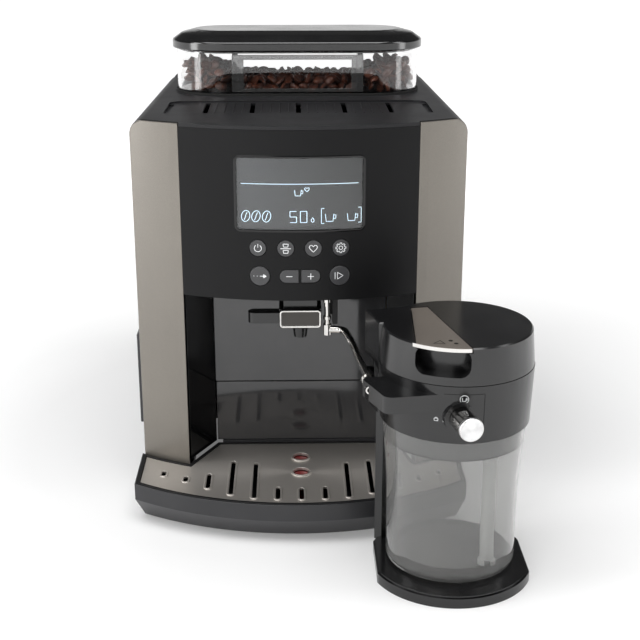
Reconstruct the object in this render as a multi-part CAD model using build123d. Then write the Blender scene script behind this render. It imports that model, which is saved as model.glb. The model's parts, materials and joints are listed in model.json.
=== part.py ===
"""Bean-to-cup coffee machine with a milk jug, as separate named pieces.

Millimetres, +Z up, +X to the right of someone facing the machine, -Y towards them.
The origin is the middle of the housing's footprint, on the worktop.
"""
import math
import os

from build123d import *

# ---- housing
width = 260.0                 # across the front corners
rear_width = 248.0            # across the sides at the water tank
depth = 254.0                 # front corners to the tank's front face
deck_z = 312.0                # cup deck above the worktop
nose_radius = 233.0           # the bowed front, in plan
shoulder = 12.0               # rounding between deck and sides
skin = 3.0                    # moulded wall
foot_height = 6.0
pan_top = 14.0                # top of the base pan
skirt_top = deck_z - 14.0     # where the side panels meet the deck piece

# ---- worked out from the housing
half = width / 2
front_y = -depth / 2
rear_y = depth / 2
nose_y = front_y + math.sqrt(nose_radius ** 2 - half ** 2)
bow_y = nose_y - nose_radius      # foremost line of the bowed front

# ---- front
fascia_width = 182.0
fascia_bottom = deck_z - 134.0
gap = 0.4                     # between moving neighbours
seam = 0.2                    # between fixed neighbours
panel_thickness = 3.0         # taupe front panels
gasket_thickness = 1.0        # dark line behind them

# ---- cup space
cheek_back_width = 142.0
back_panel_y = front_y + 21.0  # front of the glossy back panel
back_panel_thickness = 2.5
drawer_front_top = 88.0

# ---- drip tray
tray_top = 33.0
tray_bottom = 1.0
tray_width = width + 4.0
tray_radius = 236.0
tray_nose_y = bow_y - 58.36
tray_band = 13.5              # upright upper band of the tray's front
tray_undercut = 15.0          # how far the lower band runs back
tray_wall = 2.4
rim_width = 3.0
plate_thickness = 1.2
slot_width = 3.5
slot_pitch = 18.4
float_hole = 13.0
float_pitch = 28.0
float_front_y = tray_nose_y + 58.0

# ---- display and buttons
window_width = 97.4
window_top = deck_z - 22.5
window_bottom = window_top - 56.8
button_row_z = (window_bottom - 13.2, window_bottom - 35.2)
small_button = 12.6
large_button = 15.2
pill_length = 14.4
pill_height = 10.0
button_travel = 1.2
button_depth = 9.0

# ---- coffee outlet
outlet_width = 33.0
outlet_front_y = bow_y + 4.64
outlet_top = fascia_bottom - 9.6
badge_height = 14.1
stem_width = 26.0
stem_depth = 20.0
stem_length = 66.0
outlet_travel = 45.0

# ---- bean hopper
hopper_length = 211.0
hopper_depth = 88.0
hopper_y = 34.0
hopper_wall = 2.5
hopper_top = deck_z + 37.0
lid_over = 3.5                # lid rim beyond the bowl
lid_rim = 7.0
lid_bevel = 8.0
lid_top = hopper_top + 16.0

# ---- water tank
tank_width = rear_width - 10.0
tank_depth = 32.0
tank_bottom = 62.0
tank_corner = 14.0
tank_wall = 2.4
tank_top = deck_z - 13.0

# ---- milk jug
jug_x = half - 21.0
jug_y = tray_nose_y - 31.0
plinth_radius = 60.0
plinth_flat = 55.2            # from the axis to each side flat
plinth_offset = 3.0           # plinth's centre ahead of the vessel's axis
plinth_height = 9.0
vessel_foot_radius = 47.4
vessel_top_radius = 51.0
vessel_wall = 2.2
collar_bottom = 121.3
collar_radius = 53.2
head_radius = 54.9
head_seam = 163.0
jug_top = 189.4
knob_radius = 8.15
knob_lean = 12.0              # degrees from straight ahead, to the right
pipe_radius = 2.9

# ---- worked out from the above
hopper_radius = hopper_depth / 2
fascia_half = fascia_width / 2
cladding = panel_thickness + gasket_thickness + seam
narrow_half = min(half, rear_width / 2)  # half the housing at its narrower end

# ---- housing details
drawer_way_half = fascia_half + 1.0      # way for the drawer through the base pan
drawer_rear = 4.0
foot_places = ((20 - half, front_y + 32), (half - 20, front_y + 32),
               (20 - rear_width / 2, rear_y + 11), (rear_width / 2 - 20, rear_y + 11))
recess_half = half - 24.0                # cup-warming recess of the deck
recess_front_y = front_y + 25.0
recess_depth = 64.0
rib_pitch = 37.0
rib_places = [rib_pitch * place for place in (-2, -1, 0, 1, 2)]
stem_y = outlet_front_y + 28.0
cheek_mouth_y = nose_y - math.sqrt(nose_radius ** 2 - (fascia_half - 1.0) ** 2) + 5.36

# ---- mains inlet and switch
inlet_x = -80.0
inlet_z = 34.0
inlet_half_w = 14.0
inlet_half_h = 10.5
switch_x = -42.0
switch_half_w = 10.5
switch_half_h = 7.5
rocker_depth = 3.5                       # rocker's axis behind the frame's face

# ---- works
shelf_z = 116.0                          # shelf that carries the works
brew_y = -40.0
puck_hole = 24.0
neck_bottom = deck_z - 12.0              # underside of the hopper's neck
grinder_base = neck_bottom - 68.0
board_y = bow_y + 16.64                  # circuit board behind the buttons
pump_x = 74.0
pump_z = shelf_z + 30.0
buttons = {                              # kind, x, z
    "button_power": ("small", -32.0, button_row_z[0]),
    "button_long_cup": ("small", -10.9, button_row_z[0]),
    "button_favourite": ("small", 10.1, button_row_z[0]),
    "button_settings": ("small", 31.0, button_row_z[0]),
    "button_next": ("large", -30.7, button_row_z[1]),
    "button_minus": ("left pill", -8.4, button_row_z[1]),
    "button_plus": ("right pill", 8.1, button_row_z[1]),
    "button_start": ("large", 30.1, button_row_z[1]),
}

# ---- drawer details
container_half = 64.0
container_bottom = tray_top + 2.0
container_top = drawer_front_top - 2.0
float_guide_y = float_front_y + float_pitch / 2
slots = [  # place across, front end and rear end of each slot, from the middle outwards
    (0, 5, 24), (1, 5, 25), (2, 5, 67), (3, 8, 67), (4, 14, 39), (5, 19, 28), (6, 21, 29)]

# ---- water tank's valve and hinge
valve_x = 60.0
pin_radius = 1.2
hinge_y = rear_y + tank_depth + seam + 2.7
hinge_z = tank_top + gap / 2

# ---- milk pipe
pipe_z = collar_bottom + 30.2
rod_radius = 2.2
ferrule_radius = 5.1
socket_x = jug_x - 62.7
pipe_root_x = outlet_width / 2 + 4.5
pipe_root_y = outlet_front_y + 5.0
pipe_route = [(pipe_root_x, pipe_root_y), (pipe_root_x + 13, pipe_root_y - 1.5),
              (socket_x - 7.3, pipe_root_y - 33),
              (socket_x - 4.3, jug_y + 30), (socket_x, jug_y), (socket_x, jug_y - 30)]

# ---- jug details
spine_line = [(jug_x - 49, jug_y + 22), (jug_x - 39, jug_y + 33),
              (jug_x - 43, jug_y + 37), (jug_x - 54, jug_y + 27)]
mouth_radius = vessel_top_radius - 7.0   # hole in the collar over the vessel
tube_x = jug_x + vessel_top_radius - 27.5    # milk pick-up tube
tube_y = jug_y - vessel_top_radius + 29.0
shelf_back = jug_y - 17.0                # rear edge of the shelf that takes the pipe
lever_thickness = 2.8
lid_roof = 6.0                           # lid thickness over the head's hollow
lever_width = 12.0                       # at its hinged end
lever_turn = 9.0                         # degrees the hinge line is turned from the X axis
lever_hinge = (-23.0, 35.0)              # from the jug's axis
notch_offset = -10.5                     # finger notch, from the jug's axis
notch_width = 38.0
notch_height = 19.0
notch_corner = 7.0
notch_turn = 16.0                        # degrees
notch_lining = 2.0


# ------------------------------------------------------------------ helpers
def block(x0, x1, y0, y1, z0, z1):
    """Box between two opposite corners."""
    middle = ((x0 + x1) / 2, (y0 + y1) / 2, (z0 + z1) / 2)
    return Pos(*middle) * Box(abs(x1 - x0), abs(y1 - y0), abs(z1 - z0))


def rod(x, y, z0, z1, radius):
    """Upright cylinder from z0 to z1."""
    return Pos(x, y, (z0 + z1) / 2) * Cylinder(radius, z1 - z0)


def rod_y(x, z, y0, y1, radius):
    """Cylinder lying along Y from y0 to y1."""
    return Pos(x, (y0 + y1) / 2, z) * Rot(90, 0, 0) * Cylinder(radius, y1 - y0)


def tube(x, y, z0, z1, outer, inner):
    """Upright pipe."""
    return rod(x, y, z0, z1, outer) - rod(x, y, z0 - 1, z1 + 1, inner)


def prism(points, z0, z1):
    """Upright prism over a polygon given in order."""
    outline = Polyline(*points, close=True)
    return Pos(0, 0, z0) * extrude(make_face(outline), z1 - z0)


def stadium(length, breadth, y, z0, z1):
    """Upright prism with half-round ends, centred on x = 0."""
    return Pos(0, y, z0) * extrude(SlotOverall(length, breadth), z1 - z0)


def nose(inset, z0=-10.0, z1=400.0):
    """Upright cylinder whose front is the machine's bowed front, set back by inset."""
    return rod(0, nose_y, z0, z1, nose_radius - inset)


def shell_section(y, inset):
    """Cross-section of the housing at y: flat sides, rounded shoulders."""
    share = (y - front_y) / depth
    breadth = width + (rear_width - width) * share - 2 * inset
    height = deck_z - inset + 50
    outline = Pos(0, (height / 2 - 50)) * Rectangle(breadth, height)
    tops = outline.vertices().group_by(Axis.Y)[-1]
    return Plane((0, y, 0), x_dir=(1, 0, 0), z_dir=(0, -1, 0)) * fillet(tops, shoulder - inset)


def housing(inset, back=rear_y):
    """Solid housing shape, set in by inset on its sides and top."""
    body = loft([shell_section(front_y - 50, inset), shell_section(back, inset)], ruled=True)
    return body & block(-200, 200, -300, back, 0, 400)


def mirror_x(shape):
    """The same piece on the other side."""
    return mirror(shape, about=Plane.YZ)


# ------------------------------------------------------------------ housing
def base_pan():
    """Tray-shaped floor under the machine, open in front for the drip tray drawer."""
    body = housing(skin + seam) & nose(cladding + 1) & block(-200, 200, -300, rear_y, foot_height, pan_top)
    hollow = housing(2 * skin + seam) & nose(cladding + 4) & block(-200, 200, -300, rear_y - skin, 9, 60)
    drawer_way = block(-drawer_way_half, drawer_way_half, -300, drawer_rear + 4, 0, 60)
    lips = [block(s * drawer_way_half, s * (drawer_way_half + 3), -130, drawer_rear + 4, 7, pan_top)
            for s in (-1, 1)]
    inside = housing(skin + seam) & nose(cladding + 1)
    pan = body - hollow + [lip & inside for lip in lips] - drawer_way
    pan += block(-drawer_way_half - 3, drawer_way_half + 3, drawer_rear + 4, drawer_rear + 7, 7, pan_top)
    return pan


def machine_feet():
    """Four rubber feet."""
    feet = [rod(x, y, 0, foot_height, 9) for x, y in foot_places]
    return Compound(feet)


def rear_base():
    """Lower rear housing that the water tank stands on, with room for the mains inlet."""
    outline = tank_outline(0, foot_height, tank_bottom - 1)
    body = outline - block(-tank_width / 2 + skin, tank_width / 2 - skin, rear_y + skin,
                           rear_y + tank_depth - skin, foot_height + skin, tank_bottom - 1 - skin)
    body -= block(inlet_x - inlet_half_w, inlet_x + inlet_half_w, rear_y + tank_depth - 10,
                  rear_y + tank_depth + 5, inlet_z - inlet_half_h, inlet_z + inlet_half_h)
    body -= block(switch_x - switch_half_w, switch_x + switch_half_w, rear_y + tank_depth - 10,
                  rear_y + tank_depth + 5, inlet_z - switch_half_h, inlet_z + switch_half_h)
    return body + tank_valve()


def power_inlet():
    """Mains appliance inlet, a shrouded socket with three blades, and the switch's frame."""
    face = rear_y + tank_depth
    body = block(inlet_x - inlet_half_w + seam, inlet_x + inlet_half_w - seam, face - 24, face,
                 inlet_z - inlet_half_h + seam, inlet_z + inlet_half_h - seam)
    body -= block(inlet_x - 11, inlet_x + 11, face - 17, face + 1, inlet_z - 7.5, inlet_z + 7.5)
    for offset, height in ((-7, -1), (0, 2), (7, -1)):
        body += block(inlet_x + offset - 1, inlet_x + offset + 1, face - 18, face - 3,
                      inlet_z + height - 2.5, inlet_z + height + 2.5)
    return Compound([body, switch_frame()])


def switch_frame():
    """Fixed frame of the mains rocker switch."""
    face = rear_y + tank_depth
    body = block(switch_x - switch_half_w + seam, switch_x + switch_half_w - seam, face - 16, face + 1,
                 inlet_z - switch_half_h + seam, inlet_z + switch_half_h - seam)
    body -= block(switch_x - 8.5, switch_x + 8.5, face - 13, face + 5, inlet_z - 5.5, inlet_z + 5.5)
    return body - rod(switch_x, face - rocker_depth, inlet_z - 6.6, inlet_z + 6.6, 1.05)


def switch_rocker():
    """Rocker of the mains switch, tilting about an upright axis."""
    face = rear_y + tank_depth
    wedge = [(switch_x - 7.8, face - rocker_depth), (switch_x, face - 9), (switch_x + 7.8, face - rocker_depth),
             (switch_x + 7.6, face + 2.6), (switch_x, face + 0.9), (switch_x - 7.6, face + 2.6)]
    pin = rod(switch_x, face - rocker_depth, inlet_z - 6.4, inlet_z + 6.4, 1.0)
    return prism(wedge, inlet_z - 5.1, inlet_z + 5.1) + pin


def side_panel(side):
    """Moulded side wall below the shoulder."""
    wall = (housing(0) - housing(skin)) & nose(cladding)
    return wall & block(side * 60, side * 200, -300, rear_y, foot_height + 1, skirt_top)


def side_grip(side):
    """Raised vertical grip on the side panel, chamfered at its top."""
    inner, outer, top = min(half - 1.4, rear_width / 2 + 4.6), half + 4, 138.5
    profile = [(inner, 55), (outer, 55), (outer, 133), (half - 1.4, top)]
    if inner < half - 1.4:
        profile.append((inner, top))
    face = Plane((0, -113, 0), x_dir=(1, 0, 0), z_dir=(0, -1, 0)) * make_face(Polyline(*profile, close=True))
    grip = extrude(face, -62) - housing(0)
    return grip if side > 0 else mirror_x(grip)


def top_deck():
    """Deck with rounded shoulders, cup-warming recess and openings for hopper and outlet air."""
    wall = (housing(0) - housing(skin)) & nose(cladding) & block(-200, 200, -300, rear_y, skirt_top + seam, 400)
    lip = nose(0) & block(-fascia_half + 0.6, fascia_half - 0.6, -300, -140, deck_z - 2.6, deck_z)
    deck = wall + lip
    deck -= cup_recess(deck_z - 1.2, deck_z + 5)
    deck -= Pos(0, hopper_y, 0) * Cylinder(30, 800)
    for x in rib_places:
        deck -= block(x - 2, x + 2, recess_front_y + 5, recess_front_y + 59, deck_z - 9, deck_z + 5)
    for side in (-1, 1):
        deck -= block(side * (recess_half - 4), side * recess_half, recess_front_y + 4,
                      recess_front_y + 52, deck_z - 2.4, deck_z + 5)
    return deck


def cup_recess(z0, z1):
    """Shallow recess of the cup deck, its rear corners rounded."""
    body = block(-recess_half, recess_half, recess_front_y, recess_front_y + recess_depth, z0, z1)
    corners = body.edges().filter_by(Axis.Z).group_by(Axis.Y)[-1]
    return fillet(corners, 10)


def rear_wall():
    """Upright wall between the works and the water tank."""
    wall = housing(skin + seam) & block(-200, 200, rear_y - skin, rear_y, pan_top + seam, skirt_top)
    return wall


def chassis():
    """Inner frame: a shelf on four posts that carries the brewing works and the grinder."""
    shelf_half, post_x = narrow_half - 8, narrow_half - 16
    shelf = block(-shelf_half, shelf_half, front_y + 35, rear_y - 9, shelf_z - 4, shelf_z)
    shelf -= rod(0, brew_y, 0, 300, puck_hole)
    frame = shelf
    for x in (-post_x, post_x):
        for y in (front_y + 41, rear_y - 17):
            frame += block(x - 8, x + 8, y - 6, y + 6, pan_top, skirt_top - 4)
    bridge = block(-shelf_half, shelf_half, hopper_y - 44, hopper_y + 44, grinder_base - 4, grinder_base)
    bridge -= rod(0, hopper_y, 0, 400, 26)
    frame += bridge
    for x in (-post_x, post_x):
        frame += block(x - 8, x + 8, hopper_y - 44, hopper_y + 44, shelf_z, grinder_base)
    return frame


def front_panel(side):
    """Curved front panel of one column, its outer top corner round like the shoulder."""
    wall = (nose(0) - nose(panel_thickness)) & housing(0)
    wall &= block(side * (fascia_half + seam), side * 200, -300, 0, foot_height + 1, deck_z - 0.6)
    outer = wall.edges().filter_by(Axis.Z).sort_by(lambda e: abs(e.center().X))[-2:]
    front = [e for e in outer if e.center().Y < front_y + 1]
    return fillet(front, 1.8) if front else wall


def panel_gasket(side):
    """Dark gasket between a front panel and the housing behind it."""
    wall = (nose(panel_thickness) - nose(panel_thickness + gasket_thickness)) & housing(0)
    return wall & block(side * (fascia_half + seam), side * 200, -300, 0, foot_height + 1, deck_z - seam)


# ------------------------------------------------------------------ fascia
def fascia():
    """Bowed control fascia with a window and button holes."""
    wall = (nose(0) - nose(skin)) & block(-fascia_half, fascia_half, -300, -100,
                                          fascia_bottom, deck_z - 2.8)
    wall -= window_shape(0)
    for name in buttons:
        wall -= button_shape(name, gap)
    return wall


def window_shape(inset):
    """Prism along Y with the display window's rounded outline."""
    middle = (window_bottom + window_top) / 2
    outline = RectangleRounded(window_width - 2 * inset, window_top - window_bottom - 2 * inset, 4)
    face = Plane((0, -120, middle), x_dir=(1, 0, 0), z_dir=(0, -1, 0)) * outline
    return extrude(face, 80)


def display_window():
    """Clear window, flush with the fascia."""
    return (nose(0.3) - nose(2.3)) & window_shape(seam)


def display_module():
    """Screen behind the window, with its light guide."""
    y0 = bow_y + 8.64
    body = block(-50, 50, y0, y0 + 5, window_bottom - 3, window_top + 3)
    return body + block(-42, 42, y0 + 5, y0 + 7, window_bottom + 4, window_top - 4)


def control_board():
    """Circuit board behind the buttons, with the button switches and a heat sink."""
    low, high = button_row_z[1] - 9.5, button_row_z[0] + 9.5
    board = block(-62, 62, board_y, board_y + 1.6, low, high)
    for name in buttons:
        x, z = buttons[name][1:]
        board += block(x - 3, x + 3, board_y - 3.0, board_y, z - 3, z + 3)
    board += block(44, 60, board_y + 1.6, board_y + 14, low + 2, high - 3)
    board += block(-60, -36, board_y + 1.6, board_y + 8, low + 8, high - 9)
    return board


def button_shape(name, grow):
    """Prism along Y with a button's outline, grown all round by grow."""
    kind, x, z = buttons[name]
    if kind in ("small", "large"):
        radius = (small_button if kind == "small" else large_button) / 2 + grow
        return rod_y(x, z, -200, -120, radius)
    half_l, half_h = pill_length / 2 + grow, pill_height / 2 + grow
    body = block(x - half_l, x + half_l, -200, -120, z - half_h, z + half_h)
    ends = body.edges().filter_by(Axis.Y).group_by(Axis.X)
    return fillet(ends[0] if kind == "left pill" else ends[-1], half_h - 0.2)


def button(name):
    """One push button: its cap follows the bowed fascia and stands 0.4 mm proud."""
    x, z = buttons[name][1:]
    cap = button_shape(name, 0) & (nose(-0.4) - nose(button_depth))
    stub = rod_y(x, z, nose_y - nose_radius + button_depth - 2, board_y - 3.0 - button_travel - 0.2, 2.2)
    return cap + stub


def recess_ceiling():
    """Underside of the fascia, above the cup space, with a way for the outlet's stem."""
    plate = nose(skin + seam) & block(-200, 200, -300, back_panel_y + 2, fascia_bottom, fascia_bottom + 2.5)
    plate &= prism(cheek_line(seam), 0, 400)
    plate -= block(-stem_width / 2 - gap, stem_width / 2 + gap, stem_y - stem_depth / 2 - gap,
                   stem_y + stem_depth / 2 + gap, 0, 400)
    return plate - rod(pipe_root_x, pipe_root_y, 0, 400, rod_radius) + rod_guide()


def cheek_line(inset):
    """Plan of the cup space between the cheeks, widening to the front."""
    front, back = fascia_half - 1.0 - inset, cheek_back_width / 2 - inset
    return [(-front, -200), (front, -200), (front, cheek_mouth_y), (back, back_panel_y),
            (-back, back_panel_y), (-front, cheek_mouth_y)]


def cheek(side):
    """Glossy inner face of one column."""
    front = (side * (fascia_half - 1.0), cheek_mouth_y)
    back = (side * (cheek_back_width / 2), back_panel_y)
    points = [front, back, (back[0] + side * 2.5, back[1] + 1.0), (front[0] + side * 2.5, front[1] + 4.0)]
    if side < 0:
        points.reverse()
    body = prism(points, tray_top + 1.6, fascia_bottom + 6) - nose_shadow(cladding + seam)
    return body


def nose_shadow(inset):
    """Everything in front of the bowed front set back by inset."""
    return block(-200, 200, -320, nose_y, -20, 420) - nose(inset, -30, 430)


def back_panel():
    """Upper, fixed part of the glossy back panel."""
    outer = cheek_back_width / 2 - seam
    return block(-outer, outer, back_panel_y, back_panel_y + back_panel_thickness,
                 drawer_front_top + 0.6, fascia_bottom - seam)


# ------------------------------------------------------------------ drip tray drawer
def tray_outline(inset, z0, z1, set_back=0.0):
    """Plan of the drip tray: a bowed front, wings before the columns, a tongue between them."""
    centre = tray_nose_y + tray_radius + set_back
    wide = tray_width / 2 - inset - set_back * 0.4
    body = rod(0, centre, z0, z1, tray_radius - inset)
    body &= block(-wide, wide, -300, back_panel_y - 1 - inset, z0, z1)
    leg = rod(0, nose_y, z0 - 1, z1 + 1, nose_radius + gap + 0.6 + inset)
    leg -= prism(tongue_line(2.4 + inset), z0 - 2, z1 + 2)
    return body - leg


def tongue_line(inset):
    """Plan of the tray's tongue between the cheeks."""
    front, back = fascia_half - 1.0 - inset, cheek_back_width / 2 - inset
    slope = (front - back) / (cheek_mouth_y - back_panel_y)
    reach = -40.0
    return [(-front - slope * reach, cheek_mouth_y + reach), (front + slope * reach, cheek_mouth_y + reach),
            (back, back_panel_y + 2), (-back, back_panel_y + 2)]


def drip_tray():
    """Drip tray with its undercut front, and behind it the deck for the grounds container."""
    upper = tray_outline(0, tray_top - tray_band, tray_top)
    body = upper
    lower_front = loft([Pos(0, 0, tray_top - tray_band) * tray_front_face(0),
                        Pos(0, 0, tray_bottom) * tray_front_face(tray_undercut)], ruled=True)
    body += tray_outline(0, tray_bottom, tray_top - tray_band) & lower_front
    hollow = tray_outline(tray_wall, tray_bottom + tray_wall, tray_top + 1, tray_undercut)
    hollow += tray_outline(tray_wall, tray_top - tray_band + 2, tray_top + 1)
    body -= hollow
    body -= tray_outline(0.8, tray_top - plate_thickness - 1.6, tray_top + 1)
    rear = block(-container_half - 2, container_half + 2, back_panel_y - 1, drawer_rear, tray_bottom,
                 tray_bottom + 6)
    rear += block(-container_half - 2, container_half + 2, back_panel_y - 1, back_panel_y + 1, tray_bottom,
                  container_bottom)
    for side in (-1, 1):
        x = side * container_half
        rear += block(x - side * 2, x + side * 2, back_panel_y + 1, drawer_rear, tray_bottom + 6,
                      container_bottom)
    rear += block(-container_half, container_half, drawer_rear - 2, drawer_rear, tray_bottom + 6,
                  container_bottom)
    guide = rod(0, float_guide_y, tray_bottom, tray_bottom + tray_wall + 14, 2.2)
    return body + rear + guide


def tray_front_face(set_back):
    """Face that bounds the tray's front in plan, used to draw the undercut."""
    centre = tray_nose_y + tray_radius + set_back
    wide = tray_width / 2 - set_back * 0.4
    drop = math.sqrt(tray_radius ** 2 - wide ** 2)
    front = RadiusArc((-wide, centre - drop), (wide, centre - drop), tray_radius, short_sagitta=True)
    if front.center().Y > centre - drop:
        front = RadiusArc((-wide, centre - drop), (wide, centre - drop), -tray_radius, short_sagitta=True)
    sides = Polyline((wide, centre - drop), (wide, -90), (-wide, -90), (-wide, centre - drop))
    return make_face([front, sides])


def tray_rim():
    """Black frame around the steel plate."""
    z0, z1 = tray_top - plate_thickness - 1.6, tray_top + 0.6
    ring = tray_outline(1.0, z0, z1) - tray_outline(1.0 + rim_width, z0 - 1, z1 + 1)
    seat = tray_outline(1.0, z0, z0 + 1.4) - tray_outline(2.5 + rim_width, z0 - 1, z1 + 1)
    return ring + seat


def slot_blocks(grow, z0, z1):
    """The plate's slots as prisms, each grown all round by grow."""
    cutters = []
    for place, near, far in slots:
        for side in ((-1, 1) if place else (1,)):
            x = side * place * slot_pitch
            edge = tray_nose_y + tray_radius - math.sqrt(tray_radius ** 2 - x ** 2)
            y0, y1 = edge + 5 + near - grow, edge + 5 + far + grow
            length, breadth = y1 - y0, slot_width + 2 * grow
            shape = Pos(x, (y0 + y1) / 2, z0) * extrude(Rot(0, 0, 90) * SlotOverall(length, breadth), z1 - z0)
            cutters.append(shape)
    return cutters


def drip_grid():
    """Stainless plate with slots in raised lips and two collared float holes."""
    z1 = tray_top
    z0 = z1 - plate_thickness
    plate = tray_outline(1.0 + rim_width + 0.3, z0, z1)
    plate += slot_blocks(1.6, z1, z1 + 0.7)
    holes = []
    for index in range(2):
        y = float_front_y + index * float_pitch
        plate += rod(0, y, z0, z1 + 1.2, float_hole / 2 + 1.6)
        holes.append(rod(0, y, z0 - 1, z1 + 5, float_hole / 2))
    return plate - slot_blocks(0, z0 - 1, z1 + 5) - holes


def tray_float():
    """Water-level float: a flat boat with two red markers, on a guide post."""
    floor = tray_bottom + tray_wall + gap
    boat = Pos(0, float_guide_y, floor + 3) * Box(24, float_pitch + 20, 6)
    boat = fillet(boat.edges().filter_by(Axis.Z), 9)
    boat -= rod(0, float_guide_y, 0, 20, 3.2)
    boat += tube(0, float_guide_y, floor, floor + 6, 5.2, 3.2)
    markers = [rod(0, float_front_y + i * float_pitch, floor + 5, tray_top - 1.6, float_hole / 2 - gap)
               for i in range(2)]
    return boat + markers


def grounds_container():
    """Open box that catches used coffee, behind the drawer's front panel."""
    y0, y1 = back_panel_y + back_panel_thickness + seam, drawer_rear
    body = block(-container_half, container_half, y0, y1, container_bottom + seam, container_top)
    body = fillet(body.edges().filter_by(Axis.Z), 8)
    return body - fillet(block(-container_half + 2, container_half - 2, y0 + 2, y1 - 2,
                               container_bottom + 2.4, container_top + 5).edges().filter_by(Axis.Z), 6)


def drawer_front():
    """Lower, moving part of the glossy back panel."""
    outer = cheek_back_width / 2 - 0.8
    return block(-outer, outer, back_panel_y, back_panel_y + back_panel_thickness,
                 container_bottom + seam, drawer_front_top)


# ------------------------------------------------------------------ coffee outlet
def outlet_block():
    """Height-adjustable coffee outlet with its stem and finger tab."""
    head = block(-outlet_width / 2, outlet_width / 2, outlet_front_y + 2, stem_y + stem_depth / 2,
                 outlet_top - badge_height, outlet_top)
    head = fillet(head.edges().filter_by(Axis.Z), 2)
    head -= block(-outlet_width / 2 - 1, outlet_width / 2 + 1, outlet_front_y, outlet_front_y + 4.2,
                  outlet_top - 1.5, outlet_top + 1)
    stem = block(-stem_width / 2, stem_width / 2, stem_y - stem_depth / 2, stem_y + stem_depth / 2,
                 outlet_top, outlet_top + stem_length)
    brow = block(-stem_width / 2, stem_width / 2, outlet_front_y + 6, stem_y, outlet_top, outlet_top + 6.5)
    z0 = outlet_top - badge_height + 0.2
    tab = block(-outlet_width / 2 - 24.5, -outlet_width / 2, outlet_front_y + 11, outlet_front_y + 23, z0, z0 + 8.5)
    tab = fillet(tab.edges().filter_by(Axis.Z).group_by(Axis.X)[0], 5.8)
    body = head + stem + brow + tab
    body -= rod(0, outlet_front_y + 14, 0, outlet_top - 4, 4.0)
    body -= block(-4, 4, outlet_front_y + 10, outlet_front_y + 34, outlet_top - 9, outlet_top - 4)
    body -= rod(0, stem_y, outlet_top - 9, outlet_top + stem_length + 1, 3.0)
    return body


def outlet_nozzles():
    """Two spouts under the outlet block, and the web between them."""
    y = outlet_front_y + 14
    z = outlet_top - badge_height
    spout = Pos(0, y, z - 5.6) * Cone(5.0, 6.6, 11.2)
    web = block(-14, 14, y - 2, y + 10, z - 3, z)
    body = fillet(web.edges().filter_by(Axis.Z), 1.5) + spout
    body += Pos(-11, y + 2, z - 2.4) * Cone(2.6, 3.4, 4.8)
    return body - rod(0, y, z - 20, z + 5, 3.4)


def badge_shape(inset, front):
    """Prism along Y with the badge's rounded outline."""
    middle = outlet_top - badge_height / 2
    outline = RectangleRounded(outlet_width - 1 - 2 * inset, badge_height - 2 * inset, 2.6 - inset * 0.8)
    face = Plane((0, outlet_front_y + 2, middle), x_dir=(1, 0, 0), z_dir=(0, -1, 0)) * outline
    return extrude(face, -front)


def badge():
    """Blank badge: a bright raised frame around a plate."""
    recess = badge_shape(1.3, -3.0) & block(-50, 50, -200, outlet_front_y + 0.6, 0, 300)
    return badge_shape(0, -2.0) - recess


def steam_rod():
    """Polished milk outlet that hangs from the ceiling beside the coffee outlet."""
    body = rod(pipe_root_x, pipe_root_y, pipe_z - 3, fascia_bottom + 12, rod_radius)
    for z, height, radius in ((pipe_z - 4.2, 8.4, 3.3), (pipe_z + 8.5, 2.4, 3.1), (fascia_bottom - 4, 3.6, 3.1)):
        body += rod(pipe_root_x, pipe_root_y, z, z + height, radius)
    return body - pipe_run(pipe_radius, short=True)


def rod_guide():
    """Bracket under the ceiling, behind the polished rod."""
    plate = block(pipe_root_x + 4.0, pipe_root_x + 8.0, pipe_root_y - 3, pipe_root_y + 9,
                  pipe_z + 5, fascia_bottom)
    arm = block(pipe_root_x - 2, pipe_root_x + 4.0, pipe_root_y + 4.0, pipe_root_y + 9, pipe_z + 11, fascia_bottom)
    return plate + arm


def pipe_run(radius, short=False):
    """Bent steel pipe from the milk outlet to the jug's socket, level all the way."""
    points = [Vector(x, y, pipe_z) for x, y in pipe_route]
    radii = []
    for before, here, after in zip(points, points[1:], points[2:]):
        turn = math.radians((here - before).get_angle(after - here))
        run = min((here - before).length, (after - here).length)
        radii.append(0.45 * run / math.tan(turn / 2))
    path = FilletPolyline(*points, radius=radii)
    start = Plane(points[0], z_dir=(points[1] - points[0]))
    run = sweep(start * Circle(radius), path=path)
    near_rod = block(0, pipe_root_x + 7, pipe_root_y - 10, pipe_root_y + 10, pipe_z - 10, pipe_z + 10)
    return run & near_rod if short else run


def milk_pipe():
    """Polished pipe, a tube with a 1 mm wall, and the ferrule before the jug's socket."""
    x, y = socket_x, shelf_back + 1.0
    ferrule = rod_y(x, pipe_z, y, y + 6, pipe_radius + 1.4)
    ferrule += rod_y(x, pipe_z, y + 4.4, y + 6, ferrule_radius)
    return pipe_run(pipe_radius) + ferrule - pipe_run(pipe_radius - 1.0)


# ------------------------------------------------------------------ hopper
def hopper_bowl():
    """Clear bean bowl with a sloping floor and a neck that feeds the grinder."""
    z0 = deck_z + seam
    body = stadium(hopper_length, hopper_depth, hopper_y, z0, hopper_top)
    body -= stadium(hopper_length - 2 * hopper_wall, hopper_depth - 2 * hopper_wall, hopper_y,
                    z0 + hopper_wall, hopper_top + 1)
    body += rod(0, hopper_y, neck_bottom, z0 + hopper_wall, 26)
    return body - rod(0, hopper_y, neck_bottom - 1, hopper_top, 22)


def hopper_divider():
    """Clear inner frame: two posts and a low window that keeps beans off the lid's middle."""
    floor = deck_z + seam + hopper_wall
    front = hopper_y - hopper_radius + hopper_wall + 1.0
    body = block(-56, 56, front, front + 2, floor, hopper_top - 3)
    body -= block(-46, 46, front - 1, front + 3, floor + 3, hopper_top - 7)
    for side in (-1, 1):
        body += block(side * 51, side * 56, front + 2, front + 26, floor, hopper_top - 3)
    return body


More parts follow.
